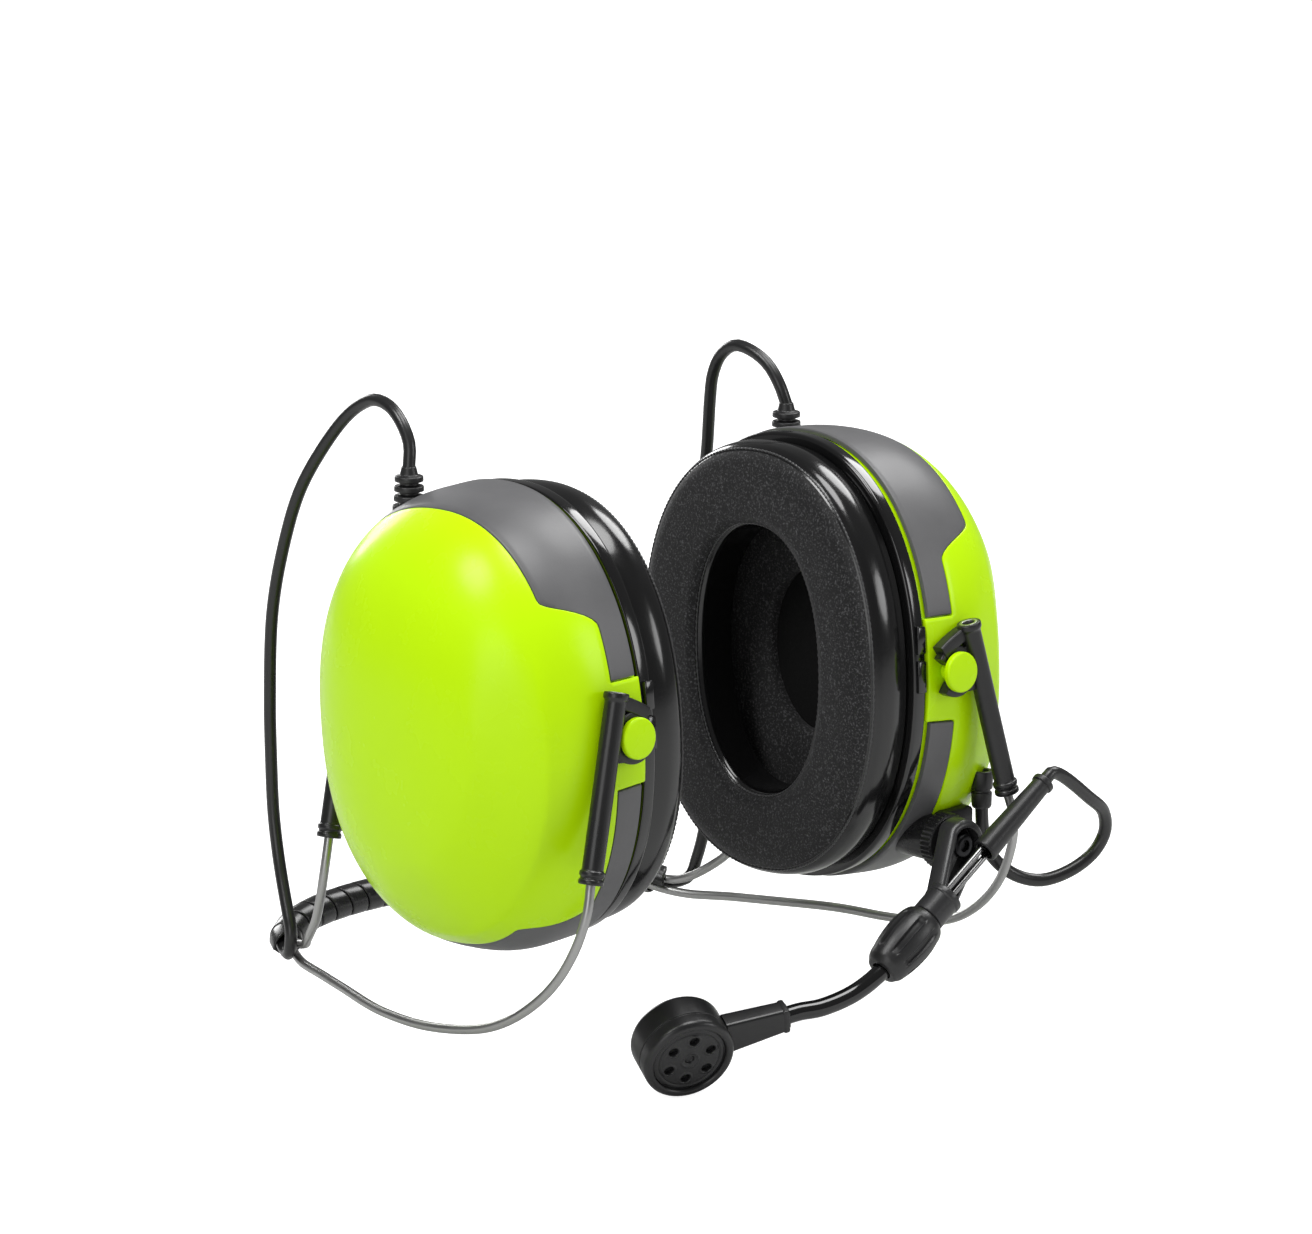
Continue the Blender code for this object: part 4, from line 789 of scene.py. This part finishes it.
armSet = {"pivot": (6.3, -0.8), "skin": 45.5, "inner": 45.9, "thick": 3.0, "cap": 5.0, "capThick": 1.6,
          "lean": 15.3, "length": 45.4, "top": (10.6, 10.8), "tube": 2.6, "flange": 3.05}


def tubeLine(end):
    # the tube's top end and the way down it, in the cup's own frame; end is -1 in front and 1 behind
    lean = math.radians(armSet["lean"])
    top = np.array([armSet["top"][0], end * (armSet["inner"] + armSet["tube"]), armSet["top"][1]])
    return top, np.array([math.sin(lean), 0.0, -math.cos(lean)])


def buildArm(word, place, side, end):
    top, down = tubeLine(end)
    start, way = cupToRow(top, side), cupWay(down, side)
    r, f, length = armSet["tube"], armSet["flange"], armSet["length"]
    profile = softCorners([(0, 2.05), (0, f), (1.5, f), (2.0, r), (length - 3.4, r), (length - 3.1, f),
                           (length - 2.1, f), (length - 1.8, r + 0.1), (length - 1.4, r + 0.1),
                           (length - 1.1, f), (length, f), (length, 1.45), (3.0, 1.45), (2.2, 2.05)],
                          [0.25, 0.45, 0.35, 0.5, 0.3, 0.3, 0.3, 0.15, 0.15, 0.3, 0.4, 0.2, 0.2, 0.2], 3)
    shapes = [turnedShape(start, way, profile, 48, closed=True)]
    px, pz = armSet["pivot"]
    middle = end * (armSet["inner"] + armSet["thick"] / 2)
    outward = cupWay((0, 1, 0), side)
    arc = np.radians(np.linspace(-128, 146, 60))
    ring = np.stack([px + 4.7 * np.cos(arc), np.full(60, middle), pz + 4.7 * np.sin(arc)], -1)
    hook = softCorners(np.array([(-0.5, -0.5), (0.5, -0.5), (0.5, 0.5), (-0.5, 0.5)]) * (3.3, 3.0), 0.5, 4)
    shapes.append(sweptShape(cupToRow(ring, side), hook, outward))
    finger = np.array([(10.4, middle, 8.6), (8.0, middle, 7.6), (4.6, middle, 5.9), (1.9, middle, 4.2)])
    bar = softCorners(np.array([(-0.5, -0.5), (0.5, -0.5), (0.5, 0.5), (-0.5, 0.5)]) * (3.4, 3.4), 0.5, 4)
    shapes.append(sweptShape(smoothRoute(cupToRow(finger, side), 0.8), bar, outward))
    web = np.array([(10.4, middle, 5.0), (10.9, middle, 0.0), (11.4, middle, -6.0)])
    shapes.append(sweptShape(smoothRoute(cupToRow(web, side), 1.0), bar * (0.9, 0.85), outward))
    makePiece(f"{word}_{place}_guide", shapes, finish["satin"], word + "_slider",
              [f"{word}_{place}_guide_tube"])
    bush = softCorners([(-0.05, 1.5), (-0.05, 2.35), (2.0, 2.35), (2.0, 1.5)], 0.2, 3)
    makePiece(f"{word}_{place}_bush", turnedShape(start, way, bush, 40, closed=True), finish["bush"],
              word + "_slider")
    pin = cupToRow((px, end * (armSet["skin"] + 0.1), pz), side)
    reach = armSet["inner"] + armSet["thick"] + 0.4 - armSet["skin"] - 0.1
    cap = softCorners([(0, 0.01), (0, 2.6), (reach, 2.6), (reach, armSet["cap"]),
                       (reach + armSet["capThick"], armSet["cap"]), (reach + armSet["capThick"] + 0.12, 0.01)],
                      [0, 0.2, 0.2, 0.25, 0.6, 0], 5)
    makePiece(f"{word}_{place}_cap", turnedShape(pin, cupWay((0, end, 0), side), cap, 64), finish["green"],
              word + "_cup", [f"{word}_{place}_pivot_cap"])


reliefSet = {"angle": 64.0, "depth": 15.4, "way": (-0.16, -0.25, 0.95), "core": 2.3, "rib": 3.75, "pitch": 2.35,
             "length": 10.2}


def reliefLine(side):
    foot = cupSurface(math.radians(reliefSet["angle"]), reliefSet["depth"])
    tip = cupToRow(foot, side) + cupWay(reliefSet["way"], side) * reliefSet["length"]
    return tip - (0, 0, reliefSet["length"]), np.array([0.0, 0.0, 1.0])


def buildRelief(word, side):
    foot, way = reliefLine(side)
    core, rib, pitch = reliefSet["core"], reliefSet["rib"], reliefSet["pitch"]
    line = [(-4.0, rib + 0.3), (0.8, rib + 0.3)]
    for k in range(3):
        at, size = 1.1 + pitch * k, rib - 0.12 * k
        line += [(at, core), (at + 0.75, core), (at + 0.8, size), (at + pitch - 0.3, size - 0.05)]
    line += [(1.2 + pitch * 3, core - 0.1), (reliefSet["length"], 1.75), (reliefSet["length"], 0.5)]
    profile = softCorners(line, 0.22, 3, closed=False)
    makePiece(word + "_relief", turnedShape(foot, way, profile, 48), finish["rubber"], word + "_cup",
              [word + "_cable_relief"])


# neckband: wires, spiral wrap and the link cable

wrapSet = {"radius": 4.0, "wall": 0.6, "pitch": 5.8, "gap": 0.5}


def wrapCentre():
    return smoothRoute(sagged(wrapRoute, 1) + [np.array(wrapMiddle)] + sagged(wrapRoute, -1)[::-1],
                       cordSet["spacing"])


def wrapAxes(centre):
    tangent = unitVector(np.gradient(centre, axis=0))
    sideways = unitVector(np.cross(tangent, (0, 0, 1)))
    return sideways, np.cross(sideways, tangent)


def buildNeckband():
    centre = wrapCentre()
    sideways, upward = wrapAxes(centre)
    inward, high = -1.35, 1.4
    for name, end, route, height in (("front", -1, frontWireRoute, -high), ("rear", 1, rearWireRoute, high)):
        inside = centre + inward * sideways + height * upward
        top, down = tubeLine(end)
        ends = []
        for side in (1, -1):
            start, way = cupToRow(top, side), cupWay(down, side)
            straight = [start + way * along for along in (3.0, 24.0, armSet["length"], armSet["length"] + 8.0)]
            ends.append(straight + sagged(route, side))
        into = outsidePart(ends[0], inside[0], inside[1])
        out = outsidePart(ends[1], inside[-1], inside[-2])
        path = smoothRoute(np.concatenate([into, inside, out[::-1]]), 2.2)
        makePiece(name + "_wire", sweptShape(path, circleProfile(cordSet["wireRadius"], 18)), finish["steel"],
                  "neckband", [name + "_neck_wire"])
    middle = centre - inward * sideways
    path = smoothRoute(middle[1:-1], 3.0)
    makePiece("wrap_cable", sweptShape(path, circleProfile(cordSet["linkRadius"], 14)), finish["cable"],
              "neckband", ["link_cable_middle"])
    buildWrap(centre)
    return middle


def buildWrap(centre):
    # a strip wound round the centre line: at turn t its middle has gone pitch x t / 2 pi along the line
    fine = smoothRoute(centre, 0.5)
    side, up, _ = carriedAxes(fine)
    travelled = np.concatenate([[0], np.cumsum(np.linalg.norm(np.diff(fine, axis=0), axis=1))])
    total, pitch = travelled[-1], wrapSet["pitch"]
    half = (pitch - wrapSet["gap"]) / 2
    outer, inner = wrapSet["radius"], wrapSet["radius"] - wrapSet["wall"]
    section = softCorners([(-half, inner), (half, inner), (half, outer), (-half, outer)], [0.1, 0.1, 0.5, 0.5], 3)
    turns = (total - 2 * half) / pitch
    turn = np.linspace(0, 2 * math.pi * turns, int(30 * turns))
    along = half + pitch * turn[:, None] / (2 * math.pi) + section[None, :, 0]
    lay = [np.stack([np.interp(along, travelled, source[:, k]) for k in range(3)], -1)
           for source in (fine, side, up)]
    radius = section[None, :, 1, None]
    grid = lay[0] + radius * (np.cos(turn)[:, None, None] * lay[1] + np.sin(turn)[:, None, None] * lay[2])
    makePiece("spiral_wrap", gridShape(grid), finish["wrap"], "neckband", ["neck_wrap"], sharp=50)


def cordPiece(name, path, radius, node):
    made = makePiece(name, sweptShape(path, circleProfile(radius, 18)), finish["cable"])
    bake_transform(made)
    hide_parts(node)


def buildLinkCables(middle):
    for word, side, route, mouth, inner, cut in (
            ("left", 1, leftLinkRoute, middle[0], middle[1], 27.0),
            ("right", -1, rightLinkRoute, middle[-1], middle[-2], 31.0)):
        foot, way = reliefLine(side)
        start = foot + way * (reliefSet["length"] - 0.4)
        rise = foot + way * (reliefSet["length"] + 3.0)
        stop = inner - unitVector(inner - mouth) * 0.9
        rough = np.concatenate([outsidePart([start, rise] + list(route), mouth, inner), [mouth, stop]])
        path = smoothRoute(rough, 2.0)
        top = int(path[:, 2].argmax())
        split = top + int(np.abs(path[top:, 2] - cut).argmin())
        cordPiece(word + "_link_upper", path[:split + 1], cordSet["linkRadius"],
                  word + "_link_cable")
        cordPiece(word + "_link_lower", path[split:], cordSet["linkRadius"],
                  word + "_link_cable")


# boom: mount, disc, screw, lever, grip, rods, sleeve

boomSet = {"swingX": 53.4, "swingZ": -41.0, "mountFace": -41.5, "drop": 35.0,
           "collar": (37.7, -57.4, -52.4), "discRadius": 7.0, "discThick": 4.0, "eyeRadius": 6.5, "eyeThick": 5.4,
           "collarRadius": 4.2, "collarHalf": 4.0, "gripLength": 18.0, "rod": 0.8, "rodGap": 2.4,
           "sleeveStart": -19.5, "sleeveLength": 25.0, "sleeve": (3.2, 2.4), "neck": 2.2,
           "gooseneck": [(-25.7, 1.8, -17.4), (-34.1, 4.2, -19.9)]}


def boomWay():
    drop = math.radians(boomSet["drop"])
    return np.array([-math.cos(drop), 0.0, -math.sin(drop)])


def buildClamp():
    # disc with fine ridges round its rim, and the screw that holds the lever
    face, x, z = boomSet["mountFace"] - 0.3, boomSet["swingX"], boomSet["swingZ"]
    boss = softCorners([(0, 1.8), (0, 5.7), (13.0, 5.7), (13.0, 1.8)], [0, 0.5, 0.5, 0], 3)
    block = boxShape((x + 7.0, face + 6.8, z + 1.6), np.eye(3), (11.2, 12.0, 9.4), 0.9)
    makePiece("mount_boss", [turnedShape((x, face + 0.3, z), (0, 1, 0), boss, 64, closed=True), block],
              finish["satin"], "left_cup", ["boom_mount"])
    r, thick = boomSet["discRadius"] - 0.2, boomSet["discThick"]
    profile = softCorners([(0, 1.8), (0, r - 0.4), (0.4, r), (thick - 0.4, r), (thick, r - 0.4), (thick, 1.8)],
                          [0, 0.2, 0.2, 0.2, 0.2, 0], 3)
    wave = lambda turn, along: 0.2 * np.cos(36 * turn) * ((along > 0.35) & (along < thick - 0.35))
    makePiece("clamp_disc", turnedShape((x, face, z), (0, -1, 0), profile, 288, closed=True, wave=wave),
              finish["satin"], "boom_carrier", ["boom_disc"])
    head = boomSet["mountFace"] - 0.6 - thick - boomSet["eyeThick"] + 1.9
    cap = softCorners([(-7, 0.01), (-7, 1.5), (0, 1.5), (0, 3.1), (1.1, 3.1), (1.4, 2.2), (1.4, 1.5), (0.4, 1.4),
                       (0.4, 0.01)], [0, 0.1, 0.1, 0.2, 0.5, 0.2, 0.1, 0.1, 0], 4)
    makePiece("clamp_screw", turnedShape((x, head, z), (0, -1, 0), cap, 48), finish["screw"], "boom_carrier",
              ["boom_screw"])


def teardrop(big, small, span, count=48):
    # outline round two circles and their common tangents: x runs from the big circle to the small one
    lean = math.acos((big - small) / span)
    first = np.linspace(lean, 2 * math.pi - lean, count)
    second = np.linspace(-lean, lean, count // 2)
    return np.concatenate([np.stack([big * np.cos(first), big * np.sin(first)], -1),
                           np.stack([span + small * np.cos(second), small * np.sin(second)], -1)])


def buildLever():
    eye = np.array([boomSet["swingX"], boomSet["mountFace"] - 0.6 - boomSet["discThick"], boomSet["swingZ"]])
    collar = np.array(boomSet["collar"])
    run = collar - eye
    slope = run[1] + boomSet["eyeThick"] / 2
    run[1] = 0
    span = np.linalg.norm(run) - 2.2
    run = unitVector(run)
    flat = np.cross(run, (0, 1, 0))
    thick = boomSet["eyeThick"]
    rings = []
    for inset, level in ((4.2, 0.0), (0.6, 0.0), (0.2, 0.15), (0.0, 0.5), (0.0, thick - 1.5), (0.25, thick - 0.7),
                         (0.8, thick - 0.15), (1.35, thick), (1.75, thick), (1.95, thick - 0.2), (2.1, thick - 3.4),
                         (2.5, thick - 3.6)):
        outline = teardrop(boomSet["eyeRadius"] - inset, max(3.9 - inset, 0.5), span)
        share = smoothStep((outline[:, :1] + 1.0) / span)
        rings.append(eye + outline[:, :1] * run + outline[:, 1:] * flat
                     + (0, 1, 0) * (share * slope - level))
    # a near-black sheet of the speaker cloth's finish on the recess floor paints the shade that falls inside the
    # lever's recess
    outline = teardrop(boomSet["eyeRadius"] - 2.2, 1.7, span)
    recessShadeRings = []
    for draw, level in ((0.1, 0.6), (1.0, 0.6), (1.0, thick - 3.3), (0.1, thick - 3.3)):
        along = outline[:, :1] * draw
        recessShadeRings.append(eye + along * run + outline[:, 1:] * flat * draw
                          + (0, 1, 0) * (smoothStep((along + 1.0) / span) * slope - level))
    makePiece("lever_recess_shade", gridShape(recessShadeRings), finish["cloth"], "boom_carrier")
    way = boomWay()
    half, r = boomSet["collarHalf"], boomSet["collarRadius"]
    profile = softCorners([(-half, 1.6), (-half, r + 0.35), (-half + 1.5, r + 0.35), (-half + 1.9, r),
                           (half - 0.3, r), (half, r - 0.3), (half, 1.6)], [0.1, 0.35, 0.3, 0.1, 0.1, 0.1, 0.1], 4)
    body = turnedShape(collar, way, profile, 48)
    makePiece("boom_lever", [gridShape(rings), body], finish["lever"], "boom_carrier", ["boom_holder"])


def buildGrip():
    # barrel with eight flat flutes that fade at both ends
    way, collar = boomWay(), np.array(boomSet["collar"])
    start = collar + way * (boomSet["collarHalf"] + 0.3)
    length = boomSet["gripLength"]
    at = np.linspace(0, 1, 46)
    outer = 4.7 + 1.6 * np.sin(math.pi * at ** 0.8) ** 0.7
    profile = np.concatenate([[(0.0, 2.6), (0.0, 4.3), (0.25, 4.65)],
                              np.stack([0.4 + at * (length - 1.6), outer], -1),
                              [(length - 0.7, 4.3), (length - 0.2, 4.0), (length, 3.6), (length, 2.6)]])

    def wave(turn, along):
        fade = smoothStep((along - 2.2) / 2.0) * smoothStep((length - 3.0 - along) / 2.5)
        return -0.95 * fade * smoothStep((np.cos(8 * turn) - 0.1) / 0.45)

    makePiece("twist_grip", turnedShape(start, way, profile, 192, closed=True, wave=wave), finish["rubber"],
              "boom_grip", ["boom_grip"])


def buildRodsAndSleeve():
    way, collar = boomWay(), np.array(boomSet["collar"])
    upward = np.cross(way, (0, 1, 0))
    rodEnd = boomSet["collarHalf"] + 0.3 + boomSet["gripLength"] - 6.0
    for name, offset in (("upper", boomSet["rodGap"] / 2), ("lower", -boomSet["rodGap"] / 2)):
        start = collar + way * (boomSet["sleeveStart"] - 5.0) + upward * offset
        length = rodEnd - boomSet["sleeveStart"] + 5.0
        profile = softCorners([(0, 0.01), (0, boomSet["rod"]), (length, boomSet["rod"]), (length, 0.01)],
                              [0, 0.25, 0.25, 0], 3)
        makePiece(name + "_rod", turnedShape(start, way, profile, 24), finish["rod"], "microphone",
                  ["boom_rod_" + name])
    base = collar + way * boomSet["sleeveStart"]
    wide, narrow = boomSet["sleeve"]
    length = boomSet["sleeveLength"]
    profile = softCorners([(0, 2.3), (0, wide), (length - 1.6, narrow), (length - 1.5, narrow + 0.45),
                           (length - 0.3, narrow + 0.45), (length, narrow + 0.2), (length, 1.2), (6.0, 1.2),
                           (6.0, 2.3)], [0.2, 0.5, 0.1, 0.3, 0.2, 0.2, 0.1, 0.1, 0.1], 4)
    makePiece("cable_sleeve", turnedShape(base, -way, profile, 56, closed=True), finish["rubber"], "microphone",
              ["boom_sleeve"])
    return base - way * length


# microphone

micSet = {"centre": (-28.1, -38.4, -79.2), "normal": (-0.297, -0.859, -0.412), "radius": 11.5, "length": 11.7,
          "wall": 2.3, "neck": (15.5, 8.2, 5.0), "holeRing": 5.6, "hole": 1.15}


def micAxes():
    normal = unitVector(micSet["normal"])
    along = unitVector((-0.885, 0.42, -0.2))
    along = unitVector(along - normal * np.dot(along, normal))
    return along, -np.cross(along, normal), normal


def buildMicrophone():
    along, upward, normal = micAxes()
    centre, way, collar = np.array(micSet["centre"]), boomWay(), np.array(boomSet["collar"])
    rodEnd = boomSet["collarHalf"] + 0.3 + boomSet["gripLength"] - 6.0
    length, height, thick = micSet["neck"]
    neckEnd = centre - along * (micSet["radius"] - 0.6)
    neckStart = centre - along * (micSet["radius"] + 0.1 + length)
    route = [collar + way * (rodEnd + 0.3), collar + way * (boomSet["collarHalf"] + boomSet["gripLength"] + 1.3)]
    route += list(collar + np.array(boomSet["gooseneck"])) + [neckStart - along * 3.0, neckStart + along * 1.0]
    path = smoothRoute(route, 1.0)
    makePiece("bending_neck", sweptShape(path, circleProfile(boomSet["neck"], 32)), finish["gloss"],
              "microphone", ["boom_gooseneck"])
    rows = []
    at = np.linspace(0, 1, 24)
    for t in at:
        tall, deep = height * (0.8 + 0.32 * t), thick * (0.94 + 0.1 * t)
        shrink = 1 - 0.16 * (1 - smoothStep(t / 0.06))
        outline = softCorners(np.array([(-0.5, -0.5), (0.5, -0.5), (0.5, 0.5), (-0.5, 0.5)]) * (tall, deep) * shrink,
                              1.1, 5)
        spot = neckStart + (neckEnd - neckStart) * t
        rows.append(spot + outline[:, :1] * upward + outline[:, 1:] * normal)
    collarRows = boxShape(neckStart + along * 1.1, (upward, normal, along), (height * 0.84, thick, 1.8), 0.5)
    makePiece("neck_bar", [gridShape(rows), collarRows], finish["satin"], "microphone", ["microphone_neck"])
    r, deep = micSet["radius"], micSet["length"]
    inner = r - micSet["wall"]
    back = centre - normal * deep / 2
    body = softCorners([(0.2, 0.01), (0, 4.0), (0, r - 0.9), (0.9, r), (deep - 4.6, r), (deep - 4.5, r - 0.25),
                        (deep - 4.2, r - 0.25), (deep - 4.1, r), (deep - 1.0, r), (deep - 0.1, r - 0.9),
                        (deep, inner + 0.6), (deep - 0.5, inner), (deep - 1.9, inner - 0.1), (deep - 1.9, 0.01)],
                       [0, 2.0, 0.8, 0.7, 0.08, 0.08, 0.08, 0.08, 0.8, 0.7, 0.5, 0.4, 0.2, 0], 5)
    makePiece("capsule", turnedShape(back, normal, body, 128), finish["satin"], "microphone",
              ["microphone_housing", "microphone_element"])
    buildMicFace(back + normal * (deep - 1.85), inner - 0.15, (along, upward, normal))


def buildMicFace(spot, radius, axes):
    # polar grid: height falls away in six round holes on a ring, with a ring groove and a dimple in the middle
    along, upward, normal = axes
    turn = np.linspace(0, 2 * math.pi, 240, endpoint=False)
    reach = np.concatenate([[radius, radius], np.linspace(radius, 0.05, 90)])
    x, y = reach[:, None] * np.cos(turn), reach[:, None] * np.sin(turn)
    height = 1.15 - 0.25 * smoothStep((reach[:, None] - radius + 0.9) / 0.9) + 0 * x
    height = height - 0.25 * np.exp(-((reach[:, None] - radius + 1.3) / 0.22) ** 2)
    for k in range(6):
        at = math.radians(60 * k + 15)
        far = np.hypot(x - micSet["holeRing"] * math.cos(at), y - micSet["holeRing"] * math.sin(at))
        height = height + 0.22 * np.exp(-((far - micSet["hole"] - 0.35) / 0.28) ** 2)
        height = height - 2.2 * (1 - smoothStep((far - micSet["hole"] + 0.18) / 0.3))
    far = np.hypot(x, y)
    height = height + 0.25 * np.exp(-((far - 2.1) / 0.3) ** 2) - 0.7 * (1 - smoothStep((far - 0.9) / 0.4))
    height[0] = -0.6
    grid = spot + x[..., None] * along + y[..., None] * upward + height[..., None] * normal
    makePiece("capsule_face", gridShape(grid), finish["satin"], "microphone", ["microphone_face"],
              sharp=60)


# the cable's route in steps from the gland's tip, which stands this far from the swing axis and mount face
micCableSet = {"gland": (16.2, 1.5, 5.0),
               "steps": [(0.6, 0.0, -6.0), (3.4, 0.0, -12.5), (9.0, -2.0, -18.0), (15.4, -5.0, -20.2),
                         (22.4, -8.0, -18.6), (29.0, -10.0, -14.6), (31.2, -11.8, -9.4), (28.8, -13.8, -3.4),
                         (22.0, -15.8, 1.6)]}


def buildMicCable(sleeveTop):
    # a smooth curve through the steps, cut in two where it stands furthest out, and the gland it leaves from
    gland = np.array([boomSet["swingX"], boomSet["mountFace"], boomSet["swingZ"]]) + micCableSet["gland"]
    way = boomWay()
    route = [gland + (0, 0, 0.5)] + list(gland + np.array(micCableSet["steps"]))
    route += [sleeveTop - way * 3.0, sleeveTop + way * 0.4]
    path = smoothRoute(route, 1.5)
    split = int(path[:, 0].argmax())
    cordPiece("mic_cable_lower", path[:split + 1], cordSet["micRadius"],
              "mic_cable")
    cordPiece("mic_cable_upper", path[split:], cordSet["micRadius"],
              "mic_cable")
    profile = softCorners([(0, 1.7), (0, 2.15), (0.6, 2.5), (4.0, 2.6), (4.1, 2.2), (4.8, 2.2), (4.9, 2.7),
                           (9.5, 2.9), (9.5, 1.7)], 0.2, 3)
    makePiece("cable_gland", turnedShape(gland, (0, 0, 1), profile, 40, closed=True), finish["rubber"], "left_cup")
    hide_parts("mic_cable_gland")


for word, side in (("left", 1), ("right", -1)):
    buildShell(word, side)
    buildCover(word, "top", side, cupSet["topTab"], 180 - cupSet["topTab"])
    buildCover(word, "bottom", side, 180 + cupSet["bottomTab"], 360 - cupSet["bottomTab"])
    buildPlate(word, side)
    buildCushion(word, side)
    buildLiner(word, side)
    buildRelief(word, side)
    for place, end in (("front", -1), ("rear", 1)):
        buildArm(word, place, side, end)
    print(word, "cup built")
middle = buildNeckband()
buildLinkCables(middle)
print("neckband and link cables built")
buildClamp()
buildLever()
buildGrip()
sleeveTop = buildRodsAndSleeve()
buildMicrophone()
buildMicCable(sleeveTop)
print("boom and microphone built")

carriedOver = {"speaker": "cloth", "speaker_frame": "inner", "circuit_board": "board"}
for name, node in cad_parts.items():
    for ending, key in carriedOver.items():
        if name.endswith(ending):
            for place in node.material_slots:
                place.material = finish[key]
